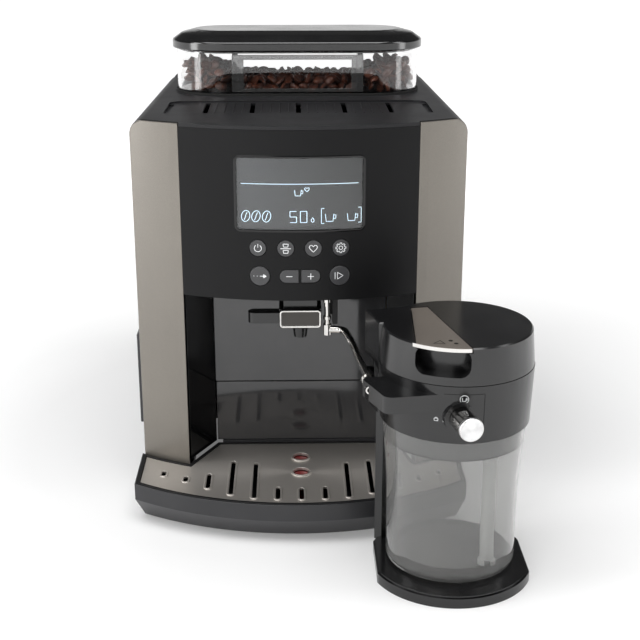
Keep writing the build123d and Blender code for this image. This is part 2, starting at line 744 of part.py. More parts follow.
def coffee_beans():
    """The heap of beans as one closed solid, higher in the side lobes."""
    floor = deck_z + seam + hopper_wall
    room = stadium(hopper_length - 2 * hopper_wall - 1.2, hopper_depth - 2 * hopper_wall - 1.2, hopper_y,
                   floor, hopper_top)
    end = hopper_length / 2 + 5
    low, high = hopper_top - 20, hopper_top - 7
    top = [(-end, floor), (-end, high), (-86, high + 2), (-60, low + 5), (-44, low), (44, low), (60, low + 5),
           (86, high), (end, high - 2), (end, floor)]
    face = Plane((0, 100, 0), x_dir=(1, 0, 0), z_dir=(0, -1, 0)) * make_face(Polyline(*top, close=True))
    heap = extrude(face, 140) & room
    front = hopper_y - hopper_radius + hopper_wall
    heap -= block(-56.6, 56.6, front - 5, front + 3.6, floor - 1, 400)
    for side in (-1, 1):
        heap -= block(side * 50.4, side * 56.6, front - 5, front + 27.6, floor - 1, 400)
    return heap


def hopper_lid():
    """Lid with an upright rim, a bevel and a gently crowned top; it lifts off."""
    over = 2 * lid_over
    z0 = hopper_top + gap
    rim = stadium(hopper_length + over, hopper_depth + over, hopper_y, z0, z0 + lid_rim)
    wide = Pos(0, hopper_y, z0 + lid_rim) * SlotOverall(hopper_length + over, hopper_depth + over)
    narrow = Pos(0, hopper_y, lid_top - 3) * SlotOverall(hopper_length + over - 2 * lid_bevel,
                                                         hopper_depth + over - 2 * lid_bevel)
    crown = Pos(0, hopper_y, lid_top) * SlotOverall(hopper_length + over - 5 * lid_bevel,
                                                    hopper_depth + over - 5 * lid_bevel)
    body = rim + loft([wide, narrow], ruled=True) + loft([narrow, crown], ruled=True)
    body -= stadium(hopper_length + over - 5, hopper_depth + over - 5, hopper_y, z0 - 1, z0 + lid_rim - 2.5)
    plug = stadium(hopper_length - 2 * hopper_wall - 1.2, hopper_depth - 2 * hopper_wall - 1.2, hopper_y,
                   z0 - 2.2, z0 + lid_rim - 2.5)
    plug -= stadium(hopper_length - 2 * hopper_wall - 6, hopper_depth - 2 * hopper_wall - 6, hopper_y,
                    z0 - 4, z0 + lid_rim - 2.5)
    return body + plug


# ------------------------------------------------------------------ works
def grinder_housing():
    """Cup around the burrs, open to the hopper's neck, with a side spout."""
    body = rod(0, hopper_y, grinder_base, neck_bottom - gap, 38)
    body -= rod(0, hopper_y, grinder_base + 4, neck_bottom - 12, 33)
    body -= rod(0, hopper_y, grinder_base + 4, neck_bottom + 5, 24)
    body -= rod(0, hopper_y, grinder_base - 1, grinder_base + 6, 5 + 0.05)
    spout = block(-9, 9, brew_y - 9, hopper_y - 36, grinder_base + 4, grinder_base + 18)
    spout -= block(-6.5, 6.5, brew_y - 6.5, hopper_y - 30, grinder_base + 6.5, grinder_base + 15.5)
    spout -= block(-6.5, 6.5, brew_y - 6.5, brew_y + 6.5, grinder_base, grinder_base + 10)
    body -= block(-6.5, 6.5, hopper_y - 40, hopper_y - 30, grinder_base + 6.5, grinder_base + 15.5)
    return body + spout


def upper_burr():
    """Fixed conical ring burr."""
    z0 = grinder_base + 22
    return rod(0, hopper_y, z0, z0 + 16, 32.6) - Pos(0, hopper_y, z0 + 8) * Cone(24, 17, 16)


def lower_burr():
    """Turning cone burr on the motor's shaft."""
    z0 = grinder_base + 22
    body = Pos(0, hopper_y, z0 + 6) * Cone(21.5, 12, 20)
    for turn in range(6):
        body -= Pos(0, hopper_y, z0 + 6) * Rot(0, 0, 60 * turn) * Pos(19, 0, 4) * Rot(0, -24, 0) * Box(6, 2, 30)
    fan = rod(0, hopper_y, grinder_base + 6, grinder_base + 9, 30)
    return body + fan + rod(0, hopper_y, shelf_z + 62, z0 + 4, 5)


def grinder_motor():
    """Motor under the grinder."""
    z0 = shelf_z
    body = rod(0, hopper_y, z0, grinder_base - 6, 25) + rod(0, hopper_y, grinder_base - 6, grinder_base, 16)
    return body - rod(0, hopper_y, z0 + 60, grinder_base + 1, 5 + 0.05)


def brew_chamber():
    """Brewing cylinder over the grounds container."""
    body = tube(0, brew_y, shelf_z, shelf_z + 52, 29, 25)
    flange = block(-34, 34, brew_y - 34, brew_y + 33, shelf_z, shelf_z + 4) - rod(0, brew_y, 0, 300, 25)
    return body + flange


def brew_piston():
    """Piston that presses the coffee and pushes the used puck out."""
    body = rod(0, brew_y, shelf_z + 40, shelf_z + 50, 24.95)
    body += rod(0, brew_y, shelf_z + 50, shelf_z + 96, 8)
    return body - rod(0, brew_y, shelf_z + 60, shelf_z + 100, 4)


def thermoblock():
    """Aluminium water heater with its two connections."""
    body = block(-100, -44, -84, -30, shelf_z, shelf_z + 56)
    for z in (12, 24, 36, 48):
        body -= block(-101, -96, -85, -29, shelf_z + z, shelf_z + z + 3)
        body -= block(-48, -43, -85, -29, shelf_z + z, shelf_z + z + 3)
    return body + rod(-72, -57, shelf_z + 56, shelf_z + 64, 5)


def pump_barrel():
    """The pump's round body."""
    return rod_y(pump_x, pump_z, -84, -14, 20)


def pump():
    """Vibrating water pump in its saddle."""
    body = pump_barrel() + rod_y(pump_x, pump_z, -14, 2, 8)
    return body + block(pump_x - 14, pump_x + 14, -70, -28, shelf_z, shelf_z + 16)


def water_lines():
    """Rigid water pipes: tank to pump, and pump to heater over the front of the brewing cylinder."""
    high, lane = shelf_z + 78, -81
    feed = rod_y(pump_x, pump_z, 2, rear_y - skin, 3)
    loop = rod(-72, lane, shelf_z + 56, high, 3) + rod(pump_x, lane, pump_z + 19.5, high, 3)
    loop += rod_x(-75, pump_x + 3, lane, high, 3)
    loop -= pump_barrel()
    return Compound([feed, loop])


def tank_valve():
    """Spigot on the lower rear housing that opens the tank's valve."""
    y = rear_y + tank_depth / 2
    seat = rod(valve_x, y, tank_bottom - 1, tank_bottom + 1.2, 11)
    return seat + rod(valve_x, y, tank_bottom - 1, tank_bottom + 9, 5)


def tank_outline(inset, z0, z1):
    """Plan of the water tank: flat front, rounded rear corners."""
    wide = tank_width / 2 - inset
    body = block(-wide, wide, rear_y + seam + inset, rear_y + tank_depth + seam - inset, z0, z1)
    corners = body.edges().filter_by(Axis.Z).group_by(Axis.Y)[-1]
    return fillet(corners, tank_corner - inset)


def water_tank():
    """Lift-out water tank with a valve seat and the knuckles of its lid's hinge."""
    z0 = tank_bottom + seam
    body = tank_outline(0, z0, tank_top) - tank_outline(tank_wall, z0 + tank_wall, tank_top + 1)
    y = rear_y + tank_depth / 2
    body += rod(valve_x, y, z0, z0 + 14, 13.5)
    body -= rod(valve_x, y, z0 - 1, z0 + 1.6, 11.6)
    body -= rod(valve_x, y, z0 - 1, z0 + 11, 5.6)
    for side in (-1, 1):
        for x in (60, 78):
            body += knuckle(side * x, 5, -1)
        body += rod_x(side * 58, side * 80, hinge_y, hinge_z, pin_radius)
    return body


def knuckle(x, length, way):
    """One hinge knuckle with its web up to the lid (way 1) or down the tank's wall (way -1)."""
    barrel = rod_x(x - length / 2, x + length / 2, hinge_y, hinge_z, 2.4)
    face = rear_y + tank_depth + seam
    web = block(x - length / 2, x + length / 2, face - 1, hinge_y, hinge_z + way * 0.3, hinge_z + way * 2.4)
    return barrel + web


def rod_x(x0, x1, y, z, radius):
    """Cylinder lying along X."""
    return Pos((x0 + x1) / 2, y, z) * Rot(0, 90, 0) * Cylinder(radius, abs(x1 - x0))


def tank_lid():
    """Tank lid, flush with the deck and hinged at the tank's rear edge."""
    body = tank_outline(0, tank_top + gap, deck_z)
    tops = body.faces().sort_by(Axis.Z)[-1].edges()
    outer = [e for e in tops if e.center().Y > rear_y + 1]
    body = fillet(outer, 5)
    body -= tank_outline(3, tank_top - 1, deck_z - 3)
    for side in (-1, 1):
        body += knuckle(side * 69, 12, 1)
        body -= rod_x(side * 60, side * 78, hinge_y, hinge_z, pin_radius + 0.05)
    return body


# ------------------------------------------------------------------ milk jug
def jug_plinth():
    """Plinth with two flats, a stepped top, and the upright spine that carries the head."""
    body = plinth_layer(0, 0, plinth_height - 1.6) + plinth_layer(1.2, 0, plinth_height)
    return body + prism(spine_line, plinth_height - 2, collar_bottom - seam)


def plinth_layer(inset, z0, z1):
    """Plan of the plinth, set in by inset."""
    flat = plinth_flat - inset
    drum = rod(jug_x, jug_y - plinth_offset, z0, z1, plinth_radius - inset)
    return drum & block(jug_x - flat, jug_x + flat, jug_y - 100, jug_y + 100, z0, z1)


def jug_profile(points):
    """Solid of revolution about the jug's axis from (radius, z) points."""
    face = Plane((jug_x, jug_y, 0), x_dir=(1, 0, 0), z_dir=(0, -1, 0)) * make_face(Polyline(*points, close=True))
    return revolve(face, axis=Axis((jug_x, jug_y, 0), (0, 0, 1)))


def milk_container():
    """Clear jug vessel, slightly flared, with a rounded foot."""
    foot, top, wall = vessel_foot_radius, vessel_top_radius, vessel_wall
    z0 = plinth_height + seam
    outer = [(0, z0), (foot - 3, z0), (foot, z0 + 3), (top, collar_bottom - 8), (top, collar_bottom - seam),
             (top - wall, collar_bottom - seam), (top - wall, collar_bottom - 8), (foot - wall, z0 + 5),
             (foot - 5, z0 + 3), (0, z0 + 3)]
    return jug_profile(outer)


def head_outline(z0, z1, radius0, radius1, inset=0.0):
    """The head's shape: a slightly tapered drum with a squared rear left corner."""
    drum = Pos(jug_x, jug_y, (z0 + z1) / 2) * Cone(radius0 - inset, radius1 - inset, z1 - z0)
    i = inset
    corner = [(jug_x - 54.8 + i, jug_y + 2), (jug_x - 62.4 + i, jug_y + 32.4 - i), (jug_x - 52, jug_y + 34 - i),
              (jug_x - 20, jug_y + 43 - i), (jug_x, jug_y)]
    return drum + prism(corner, z0, z1)


def jug_collar():
    """Lower half of the head: drum, shelf with the pipe socket, and the valve seat."""
    body = head_outline(collar_bottom, head_seam, collar_radius, head_radius)
    body -= head_outline(collar_bottom + 3, head_seam + 1, collar_radius, head_radius, 2.6)
    body -= rod(jug_x, jug_y, collar_bottom - 5, collar_bottom + 10, mouth_radius)
    plug_radius = vessel_top_radius - vessel_wall - 0.5
    body += tube(jug_x, jug_y, collar_bottom - 15, collar_bottom + 3, plug_radius, mouth_radius)
    body += jug_shelf() - rod(jug_x, jug_y, 0, 300, head_radius - 2.6)
    base = knob_place(-3.5) * Cylinder(11.5, 9)
    body += base - rod(jug_x, jug_y, 0, 300, 50.6)
    body += knob_place(-12) * Cylinder(7, 12)
    body -= knob_place(0) * Cylinder(3.05, 60)
    bore, channel = pipe_radius + 0.35, ferrule_radius + 2 * gap
    body -= rod_y(socket_x, pipe_z, pipe_route[-1][1] - 1.5, shelf_back + 40, bore)
    body -= block(socket_x - bore, socket_x + bore, pipe_route[-1][1] - 1.5, shelf_back + 40, 0, pipe_z)
    body -= block(0, socket_x + channel, shelf_back, shelf_back + 100, pipe_z - channel, pipe_z + channel)
    return body


def knob_place(forward):
    """Frame on the selector knob's axis, its Z pointing out of the jug."""
    lean = math.radians(knob_lean)
    out = Vector(math.sin(lean), -math.cos(lean), 0)
    root = Vector(jug_x - 3.2, jug_y - 54.2, head_seam - 22.0)
    return Plane(root + out * forward, z_dir=out)


def jug_shelf():
    """Shelf at the head's left front; the milk pipe plugs into its rear edge."""
    left, front = jug_x - 67.2, jug_y - 56.5
    points = [(jug_x - 16, jug_y - 51), (left + 13.5, front), (left, shelf_back - 5), (left + 4, shelf_back),
              (jug_x - 50, shelf_back)]
    shelf = prism(points, pipe_z - 7, pipe_z + 5)
    corner = Vector(left + 13.5, front, pipe_z)
    nearest = shelf.edges().filter_by(Axis.Z).sort_by(lambda edge: (edge.center() - corner).length)
    return fillet(nearest[0:1], 7)


def dip_tube():
    """Milk pick-up tube with a notched foot, and the disc in the collar that holds it."""
    body = rod(tube_x, tube_y, 15, collar_bottom + 6, 4.9) + rod(tube_x, tube_y, 15, 18, 6.3)
    body += rod(jug_x, jug_y, collar_bottom + 3, collar_bottom + 5.5, 48.8)
    body -= rod(tube_x, tube_y, 10, collar_bottom + 10, 3.4)
    return body - block(tube_x - 2.2, tube_x + 2.2, tube_y - 10, tube_y + 10, 10, 18.5)


def jug_lid():
    """Lid of the head, chamfered at its top edge, cut away for the lever and its finger notch."""
    z0 = head_seam + gap
    body = head_outline(z0, jug_top, head_radius - 0.3, head_radius - 2.4)
    top = body.faces().sort_by(Axis.Z)[-1].outer_wire().edges()
    body = chamfer(top, 1.0)
    body -= head_outline(z0 - 1, jug_top - lid_roof, head_radius - 0.3, head_radius - 2.4, 2.6)
    body -= prism(lever_line(gap), jug_top - lever_thickness - 0.6, jug_top + 5)
    body -= lever_pin(lever_width / 2 + 2.2, 0.85)
    return body - notch_shape(0) + notch_cup()


def lever_pin(reach, radius):
    """Cylinder along the lever's hinge line."""
    turn = math.radians(lever_turn)
    along = Vector(math.cos(turn), math.sin(turn), 0)
    start = Vector(jug_x + lever_hinge[0], jug_y + lever_hinge[1], jug_top - lever_thickness / 2)
    return Plane(start, z_dir=along) * Cylinder(radius, 2 * reach)


def lever_line(grow):
    """Plan of the lever: a wedge that widens to the lid's front edge."""
    turn = math.radians(lever_turn)
    half_w = lever_width / 2 + grow
    back = lever_thickness / 2 + grow if grow else 0.0
    ends = [(lever_hinge[0] + side * half_w * math.cos(turn) - back * math.sin(turn),
             lever_hinge[1] + side * half_w * math.sin(turn) + back * math.cos(turn)) for side in (-1, 1)]
    points = [ends[0], (-33.0 - grow, -41.0), (-37.0 - grow, -60.0), (3.0 + grow * 1.6, -66.0),
              (3.0 + grow * 1.6, -52.5), ends[1]]
    return [(jug_x + x, jug_y + y) for x, y in points]


def notch_shape(grow):
    """Finger notch under the lever's front, a slot with round lower corners."""
    turn = math.radians(notch_turn)
    middle = (jug_x + notch_offset, jug_y - 30.0, jug_top - lever_thickness + 1.5 - notch_height / 2)
    face = Plane(middle, x_dir=(math.cos(turn), -math.sin(turn), 0), z_dir=(-math.sin(turn), -math.cos(turn), 0))
    outline = RectangleRounded(notch_width + 2 * grow, notch_height + 2 * grow, notch_corner)
    return extrude(face * outline, 40)


def notch_cup():
    """Inner lining of the finger notch."""
    outer, inner = notch_shape(notch_lining), notch_shape(0)
    ceiling = jug_top - lever_thickness - 0.6
    room = head_outline(head_seam + gap, ceiling, head_radius - 0.3, head_radius - 2.4, 1.0)
    back = rod(jug_x, jug_y, 0, 300, 41) - rod(jug_x, jug_y, -1, 301, 39)
    wall = (outer - inner) - rod(jug_x, jug_y, 0, 300, 39)
    return (wall + (back & outer)) & room


def lid_lever():
    """Lever plate flush with the lid; its hinged end is a barrel with two pins."""
    plate = prism(lever_line(0), jug_top - lever_thickness, jug_top)
    plate &= rod(jug_x, jug_y, 0, 300, head_radius - 2.2)
    return plate + lever_pin(lever_width / 2, lever_thickness / 2) + lever_pin(lever_width / 2 + 1.8, 0.8)


def selector_knob():
    """Milk selector: a ribbed barrel on a spindle that turns in the collar."""
    body = knob_place(11.5) * Cylinder(knob_radius, 20)
    body += knob_place(-2) * Cylinder(3.0, 14)
    fin = knob_place(6.0) * Pos(0, knob_radius, 0) * Box(3, 5, 8)
    return body + fin


# ------------------------------------------------------------------ write every piece
def both(maker):
    """The same piece on the left and on the right, in one node."""
    return Compound([maker(-1), maker(1)])


def pieces():
    """Name and maker of every piece."""
    makers = [
        base_pan, machine_feet, rear_base, power_inlet, switch_rocker, top_deck, rear_wall, chassis,
        fascia, display_window, display_module, control_board, recess_ceiling, back_panel,
        drip_tray, tray_rim, drip_grid, tray_float, grounds_container, drawer_front,
        outlet_block, outlet_nozzles, badge, steam_rod, milk_pipe,
        hopper_bowl, hopper_divider, coffee_beans, hopper_lid,
        grinder_housing, upper_burr, lower_burr, grinder_motor, brew_chamber, brew_piston,
        thermoblock, pump, water_lines, water_tank, tank_lid,
        jug_plinth, milk_container, jug_collar, dip_tube, jug_lid, lid_lever, selector_knob,
    ]
    made = {maker.__name__: maker for maker in makers}
    for pair in (side_panel, side_grip, front_panel, panel_gasket, cheek):
        made[pair.__name__ + "s"] = lambda pair=pair: both(pair)
    for name in buttons:
        made[name] = lambda name=name: button(name)
    return made


def main():
    """Build each piece and write it to parts/."""
    os.makedirs("parts", exist_ok=True)
    for name, make in pieces().items():
        export_step(make(), f"parts/{name}.step")


if __name__ == "__main__":
    main()
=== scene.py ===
"""Looks of a bean-to-cup coffee machine with a milk jug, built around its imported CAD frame.

Metres, +Z up, +X to the right of someone facing the machine, -Y towards them. Sizes in the
classes below are millimetres where their names end in _mm; places come from the CAD nodes.
"""
import json
import logging
import math
import random
from collections.abc import Iterable, Sequence
from dataclasses import dataclass, field
from enum import Enum

import bmesh
import bpy
from mathutils import Matrix, Vector

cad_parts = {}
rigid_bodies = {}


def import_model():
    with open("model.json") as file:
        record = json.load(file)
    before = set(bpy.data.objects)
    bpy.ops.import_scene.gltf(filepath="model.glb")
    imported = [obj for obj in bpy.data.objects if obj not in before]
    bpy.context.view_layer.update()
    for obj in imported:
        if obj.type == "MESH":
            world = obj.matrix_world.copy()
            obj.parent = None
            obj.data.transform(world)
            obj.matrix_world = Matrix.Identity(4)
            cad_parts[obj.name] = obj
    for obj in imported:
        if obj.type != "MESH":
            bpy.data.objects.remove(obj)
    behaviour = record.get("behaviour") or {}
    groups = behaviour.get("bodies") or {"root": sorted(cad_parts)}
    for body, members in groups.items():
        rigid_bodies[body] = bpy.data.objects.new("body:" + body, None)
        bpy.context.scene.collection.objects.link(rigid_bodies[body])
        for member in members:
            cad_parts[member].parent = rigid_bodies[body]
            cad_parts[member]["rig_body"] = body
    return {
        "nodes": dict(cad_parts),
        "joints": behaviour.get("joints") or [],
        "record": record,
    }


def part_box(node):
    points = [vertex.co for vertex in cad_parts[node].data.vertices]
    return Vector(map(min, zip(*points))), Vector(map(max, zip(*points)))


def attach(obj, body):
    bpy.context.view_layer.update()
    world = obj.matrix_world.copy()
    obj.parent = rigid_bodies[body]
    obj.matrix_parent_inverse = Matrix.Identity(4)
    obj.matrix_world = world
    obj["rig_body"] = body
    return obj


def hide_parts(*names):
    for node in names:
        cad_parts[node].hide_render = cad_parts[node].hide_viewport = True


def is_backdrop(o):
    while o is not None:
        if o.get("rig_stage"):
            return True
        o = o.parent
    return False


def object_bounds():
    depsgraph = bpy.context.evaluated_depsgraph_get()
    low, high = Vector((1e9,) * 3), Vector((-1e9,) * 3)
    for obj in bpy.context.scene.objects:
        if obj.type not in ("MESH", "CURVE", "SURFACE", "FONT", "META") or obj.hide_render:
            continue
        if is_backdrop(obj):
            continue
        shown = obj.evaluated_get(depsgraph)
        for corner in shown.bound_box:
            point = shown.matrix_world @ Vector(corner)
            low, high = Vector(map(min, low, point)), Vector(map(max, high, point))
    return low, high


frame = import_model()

MM = 0.001
log = logging.getLogger("scene")

Point = tuple[float, float]
Stroke = list[Point]


# ------------------------------------------------------------------ colour and node helpers
def linear(code: str, alpha: float = 1.0) -> tuple[float, float, float, float]:
    """Turns an sRGB hex colour into linear RGBA.

    Args:
        code: six hex digits, with or without a leading #.
        alpha: the fourth value.

    Returns:
        Linear red, green, blue and alpha.
    """
    digits = code.lstrip("#")
    parts = [int(digits[i:i + 2], 16) / 255 for i in (0, 2, 4)]
    red, green, blue = [c / 12.92 if c <= 0.04045 else ((c + 0.055) / 1.055) ** 2.4 for c in parts]
    return red, green, blue, alpha


def per_metre(period_mm: float) -> float:
    """Scale of a texture in object coordinates whose features repeat every period_mm."""
    return 1000.0 / period_mm


def add(tree: bpy.types.NodeTree, kind: str, links: dict | None = None, sockets: dict | None = None,
        **settings: object) -> bpy.types.Node:
    """Adds one shader node with its settings and links.

    Args:
        tree: the node tree it goes in.
        kind: the node's type name, after "ShaderNode".
        links: input socket name or number to the output socket that feeds it.
        sockets: input socket name or number to its value.
        settings: the node's own properties.

    Returns:
        The new node.
    """
    node = tree.nodes.new("ShaderNode" + kind)
    for key, value in settings.items():
        setattr(node, key, value)
    for key, value in (sockets or {}).items():
        node.inputs[key].default_value = value
    for key, source in (links or {}).items():
        tree.links.new(source, node.inputs[key])
    return node


class Grain(Enum):
    """How a finish's fine surface pattern runs."""

    NONE = "none"
    SPARK = "spark"
    BRUSHED_X = "brushed along X"
    BRUSHED_Z = "brushed along Z"
    FLAKE = "flake"
    SPUN = "spun"


# Mesh layer that says which way a spun surface's rings run.
SPUN_MAP = "around"

# How far a brushed grain is drawn out: a small number along the brushing.
STRETCH = {
    Grain.BRUSHED_X: (0.012, 1.0, 1.0),
    Grain.BRUSHED_Z: (1.0, 1.0, 0.012),
}


# ------------------------------------------------------------------ finishes
@dataclass(frozen=True)
class Finish:
    """An opaque or clear surface finish made of procedural nodes.

    The two colours are mixed by a slow pattern of patch_mm; the grain makes the fine bumps.
    """

    name: str
    colour: str
    second: str = ""
    roughness: float = 0.4
    spread: float = 0.05
    metallic: float = 0.0
    ior: float = 1.5
    patch_mm: float = 45.0
    grain: Grain = Grain.SPARK
    grain_mm: float = 0.45
    grain_depth_mm: float = 0.012
    coat: float = 0.0
    coat_roughness: float = 0.08
    anisotropy: float = 0.0
    specular: float = 0.5
    clear: float = 0.0
    shadow: str = ""
    glow: float = 0.0
    sheen: float = 0.0

    def material(self) -> bpy.types.Material:
        """The finish's material, made once.

        Returns:
            A material with this finish's name.
        """
        found = bpy.data.materials.get(self.name)
        if found:
            return found
        made = bpy.data.materials.new(self.name)
        made.use_nodes = True
        made.node_tree.nodes.clear()
        self.build(made.node_tree)
        made.diffuse_color = linear(self.colour)
        return made

    def build(self, tree: bpy.types.NodeTree) -> None:
        """Fills a node tree with this finish."""
        place = add(tree, "TexCoord").outputs["Object"]
        patches = add(tree, "TexNoise", {"Vector": place}, {
            "Scale": per_metre(self.patch_mm), "Detail": 4.0, "Roughness": 0.55})
        tone = self.tone(tree, place, patches)
        rough = add(tree, "MapRange", {"Value": patches.outputs["Fac"]}, {
            "From Min": 0.3, "From Max": 0.7, "To Min": max(0.0, self.roughness - self.spread),
            "To Max": self.roughness + self.spread})
        shader = add(tree, "BsdfPrincipled", {"Base Color": tone, "Roughness": rough.outputs["Result"]}, {
            "Metallic": self.metallic, "IOR": self.ior, "Coat Weight": self.coat,
            "Coat Roughness": self.coat_roughness, "Anisotropic": self.anisotropy,
            "Specular IOR Level": self.specular, "Transmission Weight": self.clear,
            "Sheen Weight": self.sheen})
        if self.glow:
            shader.inputs["Emission Strength"].default_value = self.glow
            tree.links.new(tone, shader.inputs["Emission Color"])
        if self.grain is Grain.SPUN:
            around = add(tree, "Tangent", direction_type="UV_MAP", uv_map=SPUN_MAP)
            tree.links.new(around.outputs["Tangent"], shader.inputs["Tangent"])
        bump = self.bump(tree, place)
        if bump:
            tree.links.new(bump, shader.inputs["Normal"])
        surface = shader.outputs["BSDF"]
        if self.shadow:
            surface = self.pass_light(tree, surface)
        add(tree, "OutputMaterial", {"Surface": surface})

    def tone(self, tree: bpy.types.NodeTree, place: bpy.types.NodeSocket,
             patches: bpy.types.Node) -> bpy.types.NodeSocket:
        """Colour of the surface, with its slow variation.

        Args:
            tree: the node tree.
            place: object coordinates.
            patches: the slow noise.

        Returns:
            A colour socket.
        """
        share = add(tree, "MapRange", {"Value": patches.outputs["Fac"]}, {"From Min": 0.32, "From Max": 0.68})
        mix = add(tree, "Mix", {0: share.outputs["Result"]}, data_type="RGBA")
        mix.inputs[6].default_value = linear(self.colour)
        mix.inputs[7].default_value = linear(self.second or self.colour)
        colour = mix.outputs[2]
        if self.grain is Grain.FLAKE:
            flakes = add(tree, "TexVoronoi", {"Vector": place}, {"Scale": per_metre(self.grain_mm)})
            light = add(tree, "MapRange", {"Value": flakes.outputs["Color"]},
                        {"To Min": 0.86, "To Max": 1.14})
            shade = add(tree, "Mix", {6: colour, 7: light.outputs["Result"]}, {0: 1.0},
                        data_type="RGBA", blend_type="MULTIPLY")
            colour = shade.outputs[2]
        return colour

    def bump(self, tree: bpy.types.NodeTree, place: bpy.types.NodeSocket) -> bpy.types.NodeSocket | None:
        """Fine surface relief.

        Args:
            tree: the node tree.
            place: object coordinates.

        Returns:
            A normal socket, or None for a surface with no grain.
        """
        if self.grain in (Grain.NONE, Grain.SPUN):
            return None
        if self.grain in STRETCH:
            place = add(tree, "Mapping", {"Vector": place}, {"Scale": STRETCH[self.grain]}).outputs["Vector"]
        fine = add(tree, "TexNoise", {"Vector": place}, {
            "Scale": per_metre(self.grain_mm), "Detail": 2.0, "Roughness": 0.6})
        return add(tree, "Bump", {"Height": fine.outputs["Fac"]}, {
            "Strength": 1.0, "Distance": self.grain_depth_mm * MM}).outputs["Normal"]

    def pass_light(self, tree: bpy.types.NodeTree, surface: bpy.types.NodeSocket) -> bpy.types.NodeSocket:
        """Lets light through a clear wall, tinted by the shadow colour.

        Args:
            tree: the node tree.
            surface: the shader that the eye sees.

        Returns:
            The mixed shader's socket.
        """
        ray = add(tree, "LightPath")
        through = add(tree, "BsdfTransparent", sockets={"Color": linear(self.shadow)})
        both = add(tree, "Math", {0: ray.outputs["Is Shadow Ray"], 1: ray.outputs["Is Diffuse Ray"]},
                   operation="MAXIMUM")
        return add(tree, "MixShader", {0: both.outputs["Value"], 1: surface,
                                       2: through.outputs["BSDF"]}).outputs["Shader"]


# Painted ABS housing: satin dark grey that turns light at grazing angles.
HOOD = Finish("hood_satin_abs", "1c1c1e", "212123", 0.42, 0.04, specular=0.3, grain_mm=0.5)
# Side walls and tank surround: the same ABS with a coarser spark-eroded grain.
SIDE = Finish("side_moulded_abs", "363639", "3d3d40", 0.48, 0.05, grain_mm=0.8, grain_depth_mm=0.03)
# Metallic lacquer on the front columns: fine flakes under a thin satin coat.
TAUPE = Finish("taupe_metallic_lacquer", "76716a", "7d7870", 0.42, 0.03, metallic=0.5, patch_mm=120,
               grain=Grain.FLAKE, grain_mm=0.22, grain_depth_mm=0.004, coat=0.3, coat_roughness=0.22)
# Lever: the same flake lacquer under a slightly glossier coat.
LEVER = Finish("lever_metallic_lacquer", "77706a", "827a72", 0.36, 0.03, metallic=0.5, patch_mm=60,
               grain=Grain.FLAKE, grain_mm=0.2, grain_depth_mm=0.004, coat=0.4, coat_roughness=0.15)
# EPDM seal between the panels and the housing: dull black rubber that swallows light.
SEAL = Finish("seal_epdm", "0b0b0b", "101010", 0.75, 0.05, grain_mm=0.3, grain_depth_mm=0.02)
# Fascia: black ABS, its fine texture keeps reflections dull.
FASCIA = Finish("fascia_textured_abs", "101011", "131314", 0.45, 0.04, specular=0.2, grain_mm=0.35,
                grain_depth_mm=0.018)
# Cheeks of the cup space: polished black ABS with nearly sharp reflections.
GLOSS_BLACK = Finish("gloss_black_abs", "080809", "0a0a0b", 0.09, 0.03, specular=0.4, grain=Grain.NONE)
# Back panel: smoked acrylic over grey, mirroring the tray and the outlet.
GLOSS_GREY = Finish("gloss_grey_acrylic", "323234", "383839", 0.08, 0.03, specular=0.8,
                    grain=Grain.NONE)
# Jug's plinth, head and lid, and the coffee outlet: black ABS with soft, bright highlights.
JUG_BLACK = Finish("jug_satin_abs", "131314", "171718", 0.2, 0.04, specular=0.6,
                   grain_mm=0.6, grain_depth_mm=0.003)
# Frames and hidden trim: matte black ABS with a fine texture.
BLACK = Finish("matte_black_abs", "101011", "161617", 0.5, 0.06, specular=0.3, grain_mm=0.5,
               grain_depth_mm=0.02)
# Tray's front: satin dark grey ABS.
TRAY = Finish("tray_satin_abs", "323234", "38383a", 0.34, 0.05, specular=0.4, grain_mm=0.5)
# Hopper lid: near-black ABS, smooth enough to catch a bright edge.
LID = Finish("lid_satin_abs", "0f0f10", "131314", 0.16, 0.03, specular=1.0, grain_mm=0.5,
             grain_depth_mm=0.008)
# Button caps: satin dark grey ABS.
BUTTON = Finish("button_satin_abs", "343436", "39393b", 0.34, 0.03, coat=0.2, grain_mm=0.35)
# Pad-printed ink on the buttons and the jug: off-white, with a faint painted glow that keeps it pale in
# shade.
PRINT = Finish("pad_print_white_painted_glow", "e4e6e7", "dddfe0", 0.5, 0.05, grain=Grain.NONE, glow=0.25)
# Tray plate: stainless steel brushed along X, which draws its highlights out.
STEEL = Finish("brushed_stainless", "c8c3bd", "beb9b3", 0.45, 0.04, metallic=0.85, patch_mm=60,
               grain=Grain.BRUSHED_X, grain_mm=0.25, grain_depth_mm=0.004, anisotropy=0.4)
# Milk pipe, rod, badge frame and knob: polished stainless steel with mirror reflections.
CHROME = Finish("polished_stainless", "d6d4d1", "c8c6c3", 0.07, 0.03, metallic=1.0, grain=Grain.NONE)
# Knob cap: spun aluminium, its rings fan the highlight out from the middle.
SPUN = Finish("spun_aluminium", "e6e6e6", "dadada", 0.3, 0.03, metallic=1.0, anisotropy=0.85, patch_mm=4,
              grain=Grain.SPUN)
# Clear SAN bowl: colourless, thin-walled.
CLEAR = Finish("clear_san", "ffffff", "fdfdfd", 0.0, 0.0, ior=1.49, clear=1.0, grain=Grain.NONE,
               shadow="f4f4f4")
# Jug vessel: SAN with a faint grey tint.
CLEAR_JUG = Finish("jug_grey_san", "dadad9", "d6d6d5", 0.0, 0.0, ior=1.49, clear=0.9, grain=Grain.NONE,
                   shadow="d6d6d5")
# Hopper's inner frame: smoke-tinted SAN, seen edge on as dark posts.
DIVIDER = Finish("divider_smoke_san", "8d8d8d", "868686", 0.0, 0.0, ior=1.49, clear=0.85,
                 grain=Grain.NONE, shadow="b0b0b0")
